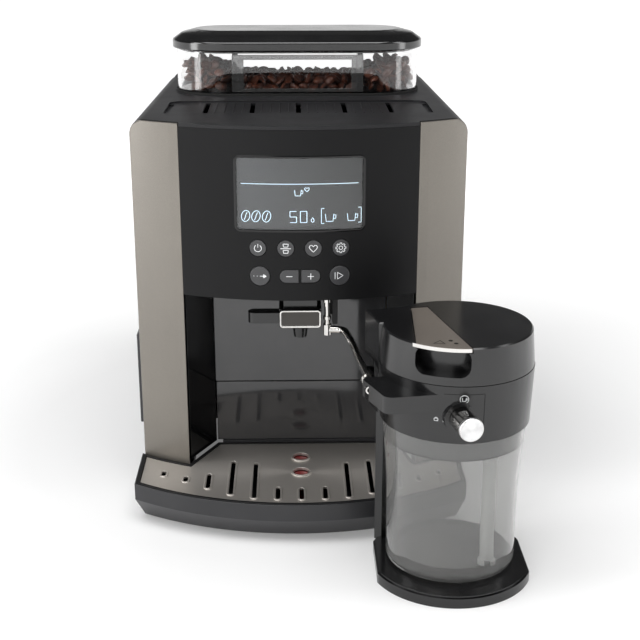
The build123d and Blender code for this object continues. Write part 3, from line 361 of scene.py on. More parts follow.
# Badge's blank face: dark anodised aluminium, brushed along X.
BADGE = Finish("badge_anodised", "4b4845", "454240", 0.42, 0.04, metallic=0.6, grain=Grain.BRUSHED_X,
               grain_mm=0.25, grain_depth_mm=0.004)
# Water tank: smoked acrylic, dim but clear.
SMOKE = Finish("smoked_acrylic", "6b6f72", "666a6d", 0.05, 0.02, ior=1.49, clear=1.0, grain=Grain.NONE,
               shadow="85898c")
# Display window: clear acrylic that hardly dims the display behind it.
WINDOW = Finish("window_acrylic", "eceff1", "e8ebee", 0.0, 0.0, ior=1.49, specular=0.2, clear=1.0,
                grain=Grain.NONE, shadow="e6eaec")
# Display's lit segments: pale blue-white.
SYMBOL = Finish("lcd_symbol", "d8e9f2", "cfe3ee", 0.6, 0.0, grain=Grain.NONE, glow=1.15)
# Oily dark-roast coffee bean.
BEAN = Finish("roast_bean", "3f2217", "663724", 0.34, 0.08, patch_mm=7, grain_mm=0.9, grain_depth_mm=0.05,
              specular=0.4)
# Red float: translucent polypropylene.
FLOAT = Finish("float_red_pp", "7d0a10", "650509", 0.3, 0.05, grain=Grain.NONE, coat=0.4)
# Feet: matte black rubber.
RUBBER = Finish("foot_rubber", "151515", "1a1a1a", 0.8, 0.05, grain_mm=0.4, grain_depth_mm=0.03)
# Circuit board: glossy green solder mask.
BOARD = Finish("solder_mask", "1c4a2c", "205434", 0.35, 0.05, coat=0.5, grain_mm=2.5, grain_depth_mm=0.03)
# Heater: cast aluminium, a dull and patchy grey.
CAST = Finish("cast_aluminium", "9a9b9c", "8a8b8d", 0.5, 0.08, metallic=1.0, patch_mm=12, grain_depth_mm=0.05)
# Motor's shell and the burrs: plated steel drawn upright.
MOTOR = Finish("plated_steel", "8d8f91", "7f8183", 0.33, 0.07, metallic=1.0, grain=Grain.BRUSHED_Z)
# Pump: turned brass, a warm and slightly tarnished yellow.
BRASS = Finish("brass", "b08d4a", "9c7a3c", 0.3, 0.08, metallic=1.0, patch_mm=15, grain_depth_mm=0.02)
# Brewing unit: white acetal with a faint satin.
WHITE = Finish("white_pom", "dedcd6", "d4d2cb", 0.4, 0.05, grain_depth_mm=0.006)
# Pick-up tube and water pipes: white silicone with a soft sheen.
TUBE = Finish("white_silicone_tube", "e6e7e6", "dcdddc", 0.35, 0.05, grain=Grain.NONE, sheen=0.1)


@dataclass(frozen=True)
class FloorFinish(Finish):
    """White paper sweep that stays white into the distance."""

    near_glow: float = 0.16
    far_glow: float = 0.9
    near_m: float = 0.25
    far_m: float = 1.1

    def build(self, tree: bpy.types.NodeTree) -> None:
        """Diffuse paper with a glow that grows away from the object."""
        place = add(tree, "TexCoord").outputs["Object"]
        away = add(tree, "VectorMath", {0: place}, operation="LENGTH").outputs["Value"]
        share = add(tree, "MapRange", {"Value": away}, {
            "From Min": self.near_m, "From Max": self.far_m,
            "To Min": self.near_glow, "To Max": self.far_glow})
        paper = add(tree, "BsdfDiffuse", sockets={"Color": linear(self.second)})
        glow = add(tree, "Emission", {"Strength": share.outputs["Result"]}, {"Color": linear(self.colour)})
        both = add(tree, "AddShader", {0: paper.outputs["BSDF"], 1: glow.outputs["Emission"]})
        add(tree, "OutputMaterial", {"Surface": both.outputs["Shader"]})


@dataclass(frozen=True)
class ScreenFinish(Finish):
    """LCD reflector with a painted glow in place of the room light that it reflects, fading to painted shade
    on the right.
    """

    dark: str = "0a0a0a"
    half_width_mm: float = 48.0

    def tone(self, tree: bpy.types.NodeTree, place: bpy.types.NodeSocket,
             patches: bpy.types.Node) -> bpy.types.NodeSocket:
        """Grey that darkens from left to right, as painted shade over the painted glow.

        Args:
            tree: the node tree.
            place: object coordinates.
            patches: the slow noise, which a screen doesn't show.

        Returns:
            A colour socket.
        """
        across = add(tree, "SeparateXYZ", {"Vector": place}).outputs["X"]
        share = add(tree, "MapRange", {"Value": across}, {
            "From Min": -self.half_width_mm * MM, "From Max": self.half_width_mm * MM})
        mix = add(tree, "Mix", {0: share.outputs["Result"]}, data_type="RGBA")
        mix.inputs[6].default_value = linear(self.colour)
        mix.inputs[7].default_value = linear(self.dark)
        return mix.outputs[2]


# LCD's reflector: dark grey that glows as painted light, brightest at its left edge, fading to painted shade
# on the right.
SCREEN = ScreenFinish("lcd_reflector_painted_light", "3d3d3d", roughness=0.6, specular=0.1, grain=Grain.NONE, glow=0.55)

BY_SLOT = {
    "hood_grey": HOOD, "taupe_panel": TAUPE, "gasket_black": SEAL, "fascia_black": FASCIA,
    "gloss_black": GLOSS_BLACK, "gloss_grey": GLOSS_GREY, "window_smoke": WINDOW, "screen": BLACK,
    "board_green": BOARD, "button_grey": BUTTON, "tray_grey": TRAY, "rim_black": BLACK,
    "steel_plate": STEEL, "float_red": FLOAT, "container_black": BLACK, "outlet_black": JUG_BLACK,
    "polished_steel": CHROME, "badge_metal": CHROME, "clear_bowl": CLEAR, "bean_brown": BEAN,
    "lid_dark": LID, "grinder_shell": BLACK, "burr_steel": MOTOR, "motor_steel": MOTOR,
    "brew_white": WHITE, "heater_aluminium": CAST, "pump_brass": BRASS, "tank_smoke": SMOKE,
    "foot_rubber": RUBBER, "inlet_black": BLACK, "jug_black": JUG_BLACK, "jug_clear": CLEAR_JUG,
    "tube_white": TUBE, "taupe_lever": LEVER, "knob_metal": CHROME,
}
SLOT_OF = {part["node"]: part["material_slot"] for part in frame["record"]["subparts"]}


# ------------------------------------------------------------------ meshes
def paint(obj: bpy.types.Object, finish: Finish) -> None:
    """Gives an object one finish."""
    obj.data.materials.clear()
    obj.data.materials.append(finish.material())


def smooth(mesh: bpy.types.Mesh, angle: float = 32.0) -> None:
    """Shades a mesh smooth, with sharp edges over the angle in degrees."""
    mesh.polygons.foreach_set("use_smooth", [True] * len(mesh.polygons))
    mesh.set_sharp_from_angle(angle=math.radians(angle))


def finish_piece(name: str, bm: bmesh.types.BMesh, finish: Finish, body: str,
                 replaces: Iterable[str] = (), crease: float = 32.0) -> bpy.types.Object:
    """Turns a bmesh in the row frame into a piece that rides on a body.

    Args:
        name: the piece's name.
        bm: its mesh, freed here.
        finish: its finish.
        body: the CAD body it moves with.
        replaces: CAD nodes it stands for.
        crease: edges sharper than this many degrees stay sharp.

    Returns:
        The new object.
    """
    bmesh.ops.recalc_face_normals(bm, faces=bm.faces)
    mesh = bpy.data.meshes.new(name)
    bm.to_mesh(mesh)
    bm.free()
    smooth(mesh, crease)
    obj = bpy.data.objects.new(name, mesh)
    bpy.context.scene.collection.objects.link(obj)
    paint(obj, finish)
    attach(obj, body)
    if replaces:
        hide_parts(*replaces)
    log.info("%s: %d faces on %s", name, len(mesh.polygons), body)
    return obj


def body_of(node: str) -> str:
    """The CAD body that a node rides on."""
    return frame["nodes"][node]["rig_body"]


def skin(node: str, bevel_mm: float = 0.5, finish: Finish | None = None, segments: int = 2,
         angle: float = 32.0) -> bpy.types.Object:
    """A softened copy of a CAD node that stands for it.

    Args:
        node: the CAD node.
        bevel_mm: radius of its softened edges; 0 leaves them.
        finish: its finish, or None for the one of its material slot.
        segments: faces across each softened edge.
        angle: edges sharper than this many degrees are softened.

    Returns:
        The copy.
    """
    bm = bmesh.new()
    bm.from_mesh(frame["nodes"][node].data)
    bmesh.ops.remove_doubles(bm, verts=bm.verts, dist=2e-6)
    bmesh.ops.dissolve_limit(bm, angle_limit=math.radians(0.6), verts=bm.verts, edges=bm.edges)
    slot = SLOT_OF[node]
    obj = finish_piece(node + "_skin", bm, finish or BY_SLOT[slot], body_of(node), [node], angle)
    if bevel_mm:
        soft = obj.modifiers.new("soft edges", "BEVEL")
        soft.width = bevel_mm * MM
        soft.segments = segments
        soft.limit_method = "ANGLE"
        soft.angle_limit = math.radians(angle)
        soft.use_clamp_overlap = True
    even = obj.modifiers.new("even shading", "WEIGHTED_NORMAL")
    even.keep_sharp = True
    return obj


def tube_strokes(strokes: Sequence[Stroke], width_mm: float) -> bmesh.types.BMesh:
    """Draws strokes in the XZ plane as thin round lines.

    Args:
        strokes: polylines in millimetres.
        width_mm: line width.

    Returns:
        A bmesh in metres around y = 0.
    """
    curve = bpy.data.curves.new("strokes", "CURVE")
    curve.dimensions = "3D"
    curve.bevel_depth = width_mm / 2 * MM
    curve.bevel_resolution = 1
    curve.use_fill_caps = True
    for stroke in strokes:
        closed = stroke[0] == stroke[-1]
        points = stroke[:-1] if closed else stroke
        spline = curve.splines.new("POLY")
        spline.points.add(len(points) - 1)
        for point, (x, z) in zip(spline.points, points):
            point.co = (x * MM, 0.0, z * MM, 1.0)
        spline.use_cyclic_u = closed
    holder = bpy.data.objects.new("strokes", curve)
    mesh = bpy.data.meshes.new_from_object(holder)
    bm = bmesh.new()
    bm.from_mesh(mesh)
    bpy.data.objects.remove(holder)
    bpy.data.meshes.remove(mesh)
    return bm


def arc(x: float, z: float, radius: float, start: float = 0.0, end: float = 360.0,
        steps: int = 18) -> Stroke:
    """Points of an arc, anticlockwise.

    Args:
        x: its centre.
        z: its centre's height.
        radius: its radius.
        start: first angle in degrees from X.
        end: last angle; a full turn makes a closed stroke.
        steps: lines that it is made of.

    Returns:
        The arc as a polyline.
    """
    turns = [math.radians(start + (end - start) * i / steps) for i in range(steps + 1)]
    points = [(x + radius * math.cos(turn), z + radius * math.sin(turn)) for turn in turns]
    if abs(end - start) >= 360:
        points[-1] = points[0]
    return points


def place_strokes(strokes: Sequence[Stroke], x: float, z: float, wide: float,
                  tall: float | None = None) -> list[Stroke]:
    """Scales and moves a unit drawing.

    Args:
        strokes: the drawing.
        x: where its origin goes.
        z: the height where its origin goes.
        wide: its scale across; a negative one mirrors it.
        tall: its scale upwards, or None for the same.

    Returns:
        The moved strokes.
    """
    tall = wide if tall is None else tall
    return [[(x + wide * a, z + tall * b) for a, b in stroke] for stroke in strokes]


def split(strokes: Sequence[Stroke], step: float = 1.5) -> list[Stroke]:
    """Adds points to strokes so that they can follow a curved face.

    Args:
        strokes: the polylines.
        step: points stand no further apart than this.

    Returns:
        The same lines with more points; closed ones stay closed.
    """
    made = []
    for stroke in strokes:
        points = [stroke[0]]
        for (x0, z0), (x1, z1) in zip(stroke, stroke[1:]):
            count = max(1, math.ceil(math.hypot(x1 - x0, z1 - z0) / step))
            shares = [i / count for i in range(1, count + 1)]
            points += [(x0 + (x1 - x0) * share, z0 + (z1 - z0) * share) for share in shares]
        if stroke[0] == stroke[-1]:
            points[-1] = points[0]
        made.append(points)
    return made


def cog_outline(teeth: int = 8, root: float = 0.74, tip: float = 1.0) -> Stroke:
    """Outline of a cog.

    Args:
        teeth: how many teeth it has.
        root: radius between them.
        tip: radius over them.

    Returns:
        A closed stroke.
    """
    tooth = ((-15.0, root), (-9.0, tip), (9.0, tip), (15.0, root))
    corners = [(math.radians(way + 360.0 / teeth * i), radius) for i in range(teeth) for way, radius in tooth]
    points = [(radius * math.cos(way), radius * math.sin(way)) for way, radius in corners]
    return points + points[:1]


def leaning_oval(half_width: float = 0.74, lean: float = 0.12, steps: int = 18) -> Stroke:
    """Oval of unit half height.

    Args:
        half_width: half its width.
        lean: how far its top leans to the right.
        steps: lines that it is made of.

    Returns:
        A closed stroke.
    """
    turns = [math.radians(360.0 / steps * i) for i in range(steps)]
    points = [(half_width * math.cos(turn) + lean * math.sin(turn), math.sin(turn)) for turn in turns]
    return points + points[:1]


class Icon(Enum):
    """Unit drawings of the symbols, about two across."""

    POWER = [arc(0, 0, 0.85, 125, 415), [(0, 0.15), (0, 1.05)]]
    CUP = [[(-0.75, 0.5), (-0.6, -0.75), (0.5, -0.75), (0.65, 0.5)],
           [(0.62, 0.3), (1.0, 0.3), (0.95, -0.3), (0.56, -0.3)]]
    LONG_CUP = [[(-1.1, 0), (1.1, 0)],
                [(-0.55, 1.0), (-0.45, 0.35), (0.45, 0.35), (0.55, 1.0), (-0.55, 1.0)],
                [(-0.55, -0.35), (-0.45, -1.0), (0.45, -1.0), (0.55, -0.35), (-0.55, -0.35)]]
    HEART = [[(0, -0.85), (-0.75, -0.1), (-0.95, 0.35), (-0.7, 0.75), (-0.3, 0.75), (0, 0.4), (0.3, 0.75),
              (0.7, 0.75), (0.95, 0.35), (0.75, -0.1), (0, -0.85)]]
    GEAR = [arc(0, 0, 0.36, steps=12), cog_outline()]
    NEXT = [[(-0.95, 0), (-0.85, 0)], [(-0.45, 0), (-0.35, 0)], [(0.0, 0), (0.95, 0)],
            [(0.5, 0.28), (0.95, 0), (0.5, -0.28), (0.5, 0.28)], [(0.5, 0.14), (0.8, 0), (0.5, -0.14)]]
    MINUS = [[(-0.75, 0), (0.75, 0)]]
    PLUS = [[(-0.75, 0), (0.75, 0)], [(0, -0.75), (0, 0.75)]]
    START = [[(-0.45, 0.75), (0.75, 0), (-0.45, -0.75), (-0.45, 0.75)], [(-0.95, 0.75), (-0.95, -0.75)]]
    BEAN = [leaning_oval(), [(-0.28, -0.7), (0.0, -0.1), (0.0, 0.1), (0.28, 0.7)]]
    DROP = [[(0, 0.9), (-0.5, 0), (-0.45, -0.45), (0, -0.8), (0.45, -0.45), (0.5, 0), (0, 0.9)]]
    BRACKET = [[(0.25, 1), (-0.15, 1), (-0.15, -1), (0.25, -1)]]
    STEAM = [[(x, -0.8), (x - 0.15, -0.3), (x + 0.15, 0.2), (x, 0.8)] for x in (-0.6, 0, 0.6)]
    LOCK = [[(-0.6, -0.8), (-0.6, 0.1), (0.6, 0.1), (0.6, -0.8), (-0.6, -0.8)], arc(0, 0.1, 0.4, 0, 180, 8)]


@dataclass(frozen=True)
class Symbol:
    """A symbol at its place in the XZ plane, with the scale of its unit drawing."""

    icon: Icon
    x_mm: float
    z_mm: float
    size_mm: float

    def strokes(self) -> list[Stroke]:
        """Its lines, in millimetres."""
        return place_strokes(self.icon.value, self.x_mm, self.z_mm, self.size_mm)


# Seven-segment digits: the lit segments of each, and each segment's ends in a cell one wide, two high.
DIGITS = {"5": "afgcd", "0": "abcdef"}
SEGMENTS = {"a": [(0, 2), (1, 2)], "b": [(1, 2), (1, 1)], "c": [(1, 1), (1, 0)], "d": [(0, 0), (1, 0)],
            "e": [(0, 1), (0, 0)], "f": [(0, 2), (0, 1)], "g": [(0, 1), (1, 1)]}


@dataclass(frozen=True)
class Bow:
    """The machine's bowed front: an upright cylinder, in plan."""

    centre_y_mm: float = 66.4
    radius_mm: float = 233.0

    def y(self, x_mm: float, proud_mm: float = 0.0) -> float:
        """Y in metres of the surface at x, moved forward by proud_mm."""
        return (self.centre_y_mm - math.sqrt((self.radius_mm + proud_mm) ** 2 - x_mm ** 2)) * MM

    def wrap(self, bm: bmesh.types.BMesh, proud_mm: float, flat: float = 0.12) -> bmesh.types.BMesh:
        """Lays a drawing in the XZ plane on the bow, its own depth times flat.

        Args:
            bm: the drawing.
            proud_mm: how far it stands in front of the bow.
            flat: share of its depth that is kept.

        Returns:
            The same bmesh.
        """
        for vert in bm.verts:
            vert.co.y = self.y(vert.co.x / MM, proud_mm) + vert.co.y * flat
        return bm


BOW = Bow()


# ------------------------------------------------------------------ sub-assemblies
@dataclass
class Housing:
    """Side walls, deck, front columns and base."""

    rib_mm: float = 1.1
    rib_height_mm: float = 0.7
    rib_edge_mm: float = 0.2
    rib_gap_mm: float = 6.2
    rib_ends_mm: Point = (-97.0, -43.0)
    ribs_sunk_mm: float = 0.9
    slot_margin_mm: float = 8.0
    slot_places_mm: tuple[float, ...] = (-74, -37, 0, 37, 74)
    skins: dict[str, float] = field(default_factory=lambda: {
        "side_panels": 0.6, "side_grips": 0.9, "top_deck": 0.7, "front_panels": 0.5, "rear_base": 0.8})

    def build(self) -> None:
        """Builds and dresses the housing."""
        for node, bevel in self.skins.items():
            skin(node, bevel, SIDE if node in ("side_panels", "side_grips", "rear_base") else None)
        self.deck_ribs()

    def deck_ribs(self) -> None:
        """Fine ribs of the cup deck, between its slots."""
        bm = bmesh.new()
        front, rear = self.rib_ends_mm
        middle = Vector((0, (front + rear) / 2 * MM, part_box("top_deck")[1].z - self.ribs_sunk_mm * MM))
        size = Vector((self.rib_mm, rear - front, self.rib_height_mm)) * MM
        for left, right in zip(self.slot_places_mm, self.slot_places_mm[1:]):
            space = right - left - self.slot_margin_mm
            count = int(space / self.rib_gap_mm)
            for i in range(count):
                middle.x = (left + self.slot_margin_mm / 2 + space * (i + 0.5) / count) * MM
                made = bmesh.ops.create_cube(bm, size=1.0)["verts"]
                bmesh.ops.scale(bm, vec=size, verts=made)
                bmesh.ops.translate(bm, vec=middle, verts=made)
        bmesh.ops.bevel(bm, geom=list(bm.edges), offset=self.rib_edge_mm * MM, segments=1, profile=0.5,
                        affect="EDGES", material=-1)
        finish_piece("deck_ribs", bm, HOOD, "machine")


@dataclass
class ControlPanel:
    """Fascia, display and buttons."""

    line_mm: float = 0.6
    print_proud_mm: float = 0.42
    screen_proud_mm: float = -3.1
    lit_lift_mm: float = 0.12
    # The groove is not cut: a black strip of this width stands for its shade.
    groove_mm: float = 1.9
    groove_corner_mm: float = 3.6
    groove_proud_mm: float = 0.06
    groove_flat: float = 0.1
    rule: tuple[Point, Point] = ((-44.0, 268.6), (44.0, 268.6))
    lit: tuple[Symbol, ...] = (
        Symbol(Icon.CUP, -1.2, 262.4, 3.6), Symbol(Icon.HEART, 5.4, 264.4, 1.9),
        *(Symbol(Icon.BEAN, x, 243.7, 4.3) for x in (-40.8, -33.0, -25.0)),
        Symbol(Icon.DROP, 9.6, 241.0, 2.2),
        *(Symbol(Icon.CUP, x, 243.2, 4.6) for x in (22.6, 39.2)))
    digits: tuple[tuple[str, float], ...] = (("5", -7.4), ("0", 0.4))
    digit_foot_mm: float = 239.2
    digit_mm: Point = (4.9, 4.3)
    brackets: tuple[Point, ...] = ((17.0, 5.6), (45.5, -5.6))
    bracket_middle_mm: float = 244.0
    bracket_half_mm: float = 5.8
    buttons: dict[str, tuple[Icon, float]] = field(default_factory=lambda: {
        "button_power": (Icon.POWER, 3.2), "button_long_cup": (Icon.LONG_CUP, 3.6),
        "button_favourite": (Icon.HEART, 3.3), "button_settings": (Icon.GEAR, 3.9),
        "button_next": (Icon.NEXT, 5.2), "button_minus": (Icon.MINUS, 3.2), "button_plus": (Icon.PLUS, 3.2),
        "button_start": (Icon.START, 3.6)})

    def build(self) -> None:
        """Builds and dresses the control panel."""
        skin("fascia", 0.35)
        self.screen()
        self.window_groove_painted_shade()
        self.symbols()
        for node, (icon, size) in self.buttons.items():
            skin(node, 0.35)
            self.button_print(node, icon, size)

    def screen(self) -> None:
        """Curved reflector of the display, just behind its window."""
        low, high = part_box("display_window")
        bm = bmesh.new()
        bmesh.ops.create_grid(bm, x_segments=32, y_segments=1, size=0.5)
        bmesh.ops.rotate(bm, matrix=Matrix.Rotation(math.radians(90), 3, "X"), verts=bm.verts)
        bmesh.ops.scale(bm, vec=(high.x - low.x + 1.0 * MM, 1, high.z - low.z + 1.0 * MM), verts=bm.verts)
        bmesh.ops.translate(bm, vec=(0, 0, (high.z + low.z) / 2), verts=bm.verts)
        BOW.wrap(bm, self.screen_proud_mm)
        finish_piece("display_reflector", bm, SCREEN, "machine")

    def window_groove_painted_shade(self) -> None:
        """Painted shade of the groove around the display window: a thin glossy black strip laid on the
        surface.
        """
        low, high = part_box("display_window")
        corner = self.groove_corner_mm
        left, right = low.x / MM + corner, high.x / MM - corner
        bottom, top = low.z / MM + corner, high.z / MM - corner
        stroke: Stroke = []
        for turn, (x, z) in enumerate(((right, top), (left, top), (left, bottom), (right, bottom))):
            stroke += arc(x, z, corner, 90 * turn, 90 * (turn + 1), 6)
        drawing = tube_strokes(split([stroke + stroke[:1]], 2.0), self.groove_mm)
        bm = BOW.wrap(drawing, self.groove_proud_mm, self.groove_flat)
        finish_piece("window_groove_painted_shade", bm, GLOSS_BLACK, "machine")

    def symbols(self) -> None:
        """Lit symbols of the display."""
        strokes = [list(self.rule)]
        for symbol in self.lit:
            strokes += symbol.strokes()
        for digit, x in self.digits:
            segments = [SEGMENTS[name] for name in DIGITS[digit]]
            strokes += place_strokes(segments, x, self.digit_foot_mm, *self.digit_mm)
        for x, reach in self.brackets:
            strokes += place_strokes(Icon.BRACKET.value, x, self.bracket_middle_mm, reach,
                                     self.bracket_half_mm)
        bm = BOW.wrap(tube_strokes(split(strokes), self.line_mm), self.screen_proud_mm + self.lit_lift_mm)
        finish_piece("display_symbols", bm, SYMBOL, "machine")

    def button_print(self, node: str, icon: Icon, size_mm: float) -> None:
        """Prints one button's symbol.

        Args:
            node: the button.
            icon: its symbol.
            size_mm: scale of the symbol's unit drawing.
        """
        low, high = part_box(node)
        x, z = (low.x + high.x) / 2 / MM, (low.z + high.z) / 2 / MM
        bm = tube_strokes(split(Symbol(icon, x, z, size_mm).strokes(), 1.0), self.line_mm)
        finish_piece(node + "_print", BOW.wrap(bm, self.print_proud_mm), PRINT, body_of(node))


@dataclass
class CupSpace:
    """Coffee outlet, milk pipe and the glossy walls around the cups."""

    frame_mm: float = 1.45
    plate_mm: float = 0.5
    plate_depth_mm: float = 0.75
    plate_corner_mm: float = 1.2
    skins: dict[str, float] = field(default_factory=lambda: {
        "cheeks": 0.3, "back_panel": 0.4, "drawer_front": 0.4, "recess_ceiling": 0.3, "outlet_block": 0.5,
        "outlet_nozzles": 0.3, "badge": 0.35, "steam_rod": 0.25})

    def build(self) -> None:
        """Builds and dresses the cup space."""
        for node, bevel in self.skins.items():
            skin(node, bevel, BLACK if node == "recess_ceiling" else None)
        self.badge_plate()

    def badge_plate(self) -> None:
        """Blank plate inside the badge's bright frame."""
        low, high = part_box("badge")
        bm = bmesh.new()
        bmesh.ops.create_cube(bm, size=1.0)
        frame_both = 2 * self.frame_mm * MM
        size = (high.x - low.x - frame_both, self.plate_mm * MM, high.z - low.z - frame_both)
        bmesh.ops.scale(bm, vec=size, verts=bm.verts)
        middle = (0, low.y + self.plate_depth_mm * MM, (low.z + high.z) / 2)
        bmesh.ops.translate(bm, vec=middle, verts=bm.verts)
        deep = [e for e in bm.edges if abs(e.verts[0].co.y - e.verts[1].co.y) > self.plate_mm / 2 * MM]
        bmesh.ops.bevel(bm, geom=deep, offset=self.plate_corner_mm * MM, segments=4, profile=0.5,
                        affect="EDGES", material=-1)
        finish_piece("badge_plate", bm, BADGE, "outlet")


@dataclass
class Tray:
    """Drip tray with its steel plate."""

    def build(self) -> None:
        """Builds and dresses the drip tray."""
        for node, bevel in (("drip_tray", 0.5), ("tray_rim", 0.3), ("drip_grid", 0.25),
                            ("grounds_container", 0.5)):
            skin(node, bevel)


@dataclass
class Hopper:
    """Bean bowl, its lid and the beans."""

    pitch_mm: tuple[float, float, float] = (8.0, 7.6, 6.0)
    stray_mm: tuple[float, float, float] = (1.6, 1.4, 0.9)
    bean_mm: tuple[float, float, float] = (5.6, 4.1, 3.0)
    bean_sizes: Point = (0.92, 1.08)
    bean_tilt: float = 0.8
    seed: int = 7
    edge_mm: float = 4.0
    first_layer_mm: float = 3.2
    heap_top_mm: float = 342.0
    slope: tuple[Point, ...] = ((-110, 340), (-86, 341), (-60, 332), (-44, 326),
                                (44, 326), (60, 332), (86, 341), (110, 340))
    divider_front_mm: float = 6.0
    divider_half_mm: float = 60.0
    divider_post_mm: Point = (47.5, 59.5)
    divider_behind_mm: float = 3.5
    gasket_reach_mm: Point = (0.5, 1.4)
    gasket_mm: float = 1.8

    def build(self) -> None:
        """Builds and dresses the hopper."""
        skin("hopper_bowl", 0.4)
        skin("hopper_divider", 0.3, DIVIDER)
        skin("hopper_lid", 0.9, angle=18.0)
        self.gasket()
        self.beans()

    def gasket(self) -> None:
        """Black seal between the bowl and the deck."""
        low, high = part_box("hopper_bowl")
        inset, outset = (reach * MM for reach in self.gasket_reach_mm)
        bm = stadium_ring(low, high, inset, outset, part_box("top_deck")[1].z, self.gasket_mm * MM)
        finish_piece("hopper_gasket", bm, SEAL, "machine")

    def top(self, x_mm: float) -> float:
        """Height of the heap.

        Args:
            x_mm: how far to the right.

        Returns:
            The heap's top there, in millimetres.
        """
        for (x0, z0), (x1, z1) in zip(self.slope, self.slope[1:]):
            if x_mm <= x1:
                return z0 + (z1 - z0) * (x_mm - x0) / (x1 - x0)
        return self.slope[-1][1]

    def beans(self) -> None:
        """Loose coffee beans that fill the heap's outline."""
        low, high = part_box("coffee_beans")
        dice = random.Random(self.seed)
        bean = self.bean_shape()
        heap = bmesh.new()
        radius = (high.y - low.y) / 2 / MM - self.edge_mm
        centre_y = (high.y + low.y) / 2 / MM
        straight = (high.x - low.x) / 2 / MM - self.edge_mm - radius
        count = 0
        z, layer = low.z / MM + self.first_layer_mm, 0
        while z < self.heap_top_mm:
            y = centre_y - radius
            while y <= centre_y + radius:
                x = -straight - radius + (layer % 2) * self.pitch_mm[0] / 2
                while x <= straight + radius:
                    px = x + dice.uniform(-self.stray_mm[0], self.stray_mm[0])
                    py = y + dice.uniform(-self.stray_mm[1], self.stray_mm[1])
                    if self.fits(Vector((px, py, z)), straight, radius, centre_y):
                        copy = bean.copy()
                        copy.transform(self.throw(dice, px, py, z))
                        heap.from_mesh(self.as_mesh(copy))
                        count += 1
                    x += self.pitch_mm[0]
                y += self.pitch_mm[1]
            z += self.pitch_mm[2]
            layer += 1
        bean.free()
        log.info("beans: %d", count)
        finish_piece("beans", heap, BEAN, "machine", ["coffee_beans"])

    def throw(self, dice: random.Random, x: float, y: float, z: float) -> Matrix:
        """Picks how one bean lies.

        Args:
            dice: the heap's random numbers.
            x: the bean's place in millimetres.
            y: the same.
            z: height of its layer.

        Returns:
            The matrix that puts a bean there.
        """
        heading = Matrix.Rotation(dice.uniform(0, math.tau), 4, "Z")
        tilt = Matrix.Rotation(dice.uniform(-self.bean_tilt, self.bean_tilt), 4, "Y")
        roll = Matrix.Rotation(dice.uniform(-math.pi, math.pi), 4, "X")
        size = Matrix.Scale(dice.uniform(*self.bean_sizes), 4)
        height = z + dice.uniform(-self.stray_mm[2], self.stray_mm[2])
        return Matrix.Translation(Vector((x, y, height)) * MM) @ heading @ tilt @ roll @ size

    def as_mesh(self, bm: bmesh.types.BMesh) -> bpy.types.Mesh:
        """Turns a bmesh into scratch mesh data, reused for each bean.

        Args:
            bm: the bmesh, freed here.

        Returns:
            The scratch mesh.
        """
        mesh = bpy.data.meshes.get("bean_scratch") or bpy.data.meshes.new("bean_scratch")
        bm.to_mesh(mesh)
        bm.free()
        return mesh

    def fits(self, spot: Vector, straight: float, radius: float, centre_y: float) -> bool:
        """Whether a bean's centre is inside the heap and off the divider.

        Args:
            spot: the centre in millimetres.
            straight: half the length of the heap's straight sides.
            radius: radius of its round ends.
            centre_y: the Y of its middle.

        Returns:
            True where the bean fits.
        """
        over = max(0.0, abs(spot.x) - straight)
        if math.hypot(over, spot.y - centre_y) > radius or spot.z > self.top(spot.x):
            return False
        front, rear = (corner.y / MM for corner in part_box("hopper_divider"))
        inner, outer = self.divider_post_mm
        at_front = abs(spot.x) < self.divider_half_mm and spot.y < front + self.divider_front_mm
        at_post = inner < abs(spot.x) < outer and spot.y < rear + self.divider_behind_mm
        return not (at_front or at_post)

    def bean_shape(self) -> bmesh.types.BMesh:
        """One bean: a flattened ellipsoid, creased along its flat side."""
        bm = bmesh.new()
        bmesh.ops.create_uvsphere(bm, u_segments=8, v_segments=6, radius=1.0)
        bmesh.ops.rotate(bm, matrix=Matrix.Rotation(math.radians(90), 3, "Y"), verts=bm.verts)
        for vert in bm.verts:
            flat = vert.co.z < 0
            crease = flat and abs(vert.co.y) < 0.2
            vert.co.z *= 0.45 if flat else 1.0
            if crease:
                vert.co.z *= 0.35
        bmesh.ops.scale(bm, vec=Vector(self.bean_mm) * MM, verts=bm.verts)
        return bm


def stadium_ring(low: Vector, high: Vector, inset: float, outset: float, z: float,
                 height: float) -> bmesh.types.BMesh:
    """Ring around a half-round-ended box seen from above.

    Args:
        low: the box's lowest corner.
        high: its highest corner.
        inset: how far the ring reaches inside its outline.
        outset: how far it reaches outside.
        z: its underside.
        height: its height.

    Returns:
        The ring's bmesh.
    """
    bm = bmesh.new()
    loops = []
    centre, radius = (low + high) / 2, (high.y - low.y) / 2
    straight = (high.x - low.x) / 2 - radius
    for grow, level in ((-inset, z), (outset, z), (outset, z + height), (-inset, z + height)):
        made = bmesh.ops.create_circle(bm, segments=64, radius=radius + grow)["verts"]
        for vert in made:
            vert.co.x += straight if vert.co.x > 0 else -straight
        bmesh.ops.translate(bm, vec=(centre.x, centre.y, level), verts=made)
        loops.append({e for v in made for e in v.link_edges})
    for a, b in zip(loops, loops[1:] + loops[:1]):
        bmesh.ops.bridge_loops(bm, edges=list(a | b))
    return bm


def lathe(profile: Sequence[Point], steps: int = 96, closed: bool = False) -> bmesh.types.BMesh:
    """Spins a profile about the Z axis.

    Args:
        profile: radius and height pairs in millimetres.
        steps: faces around.
        closed: whether the profile's end joins its start.

    Returns:
        The solid's bmesh, in metres, its axis through the origin.
    """
    bm = bmesh.new()
    verts = [bm.verts.new((radius * MM, 0, height * MM)) for radius, height in profile]
    pairs = list(zip(verts, verts[1:])) + ([(verts[-1], verts[0])] if closed else [])
    edges = [bm.edges.new(pair) for pair in pairs]
    bmesh.ops.spin(bm, geom=verts + edges, cent=(0, 0, 0), axis=(0, 0, 1), angle=math.tau, steps=steps,
                   use_merge=True)
    bmesh.ops.remove_doubles(bm, verts=bm.verts, dist=1e-6)
    return bm


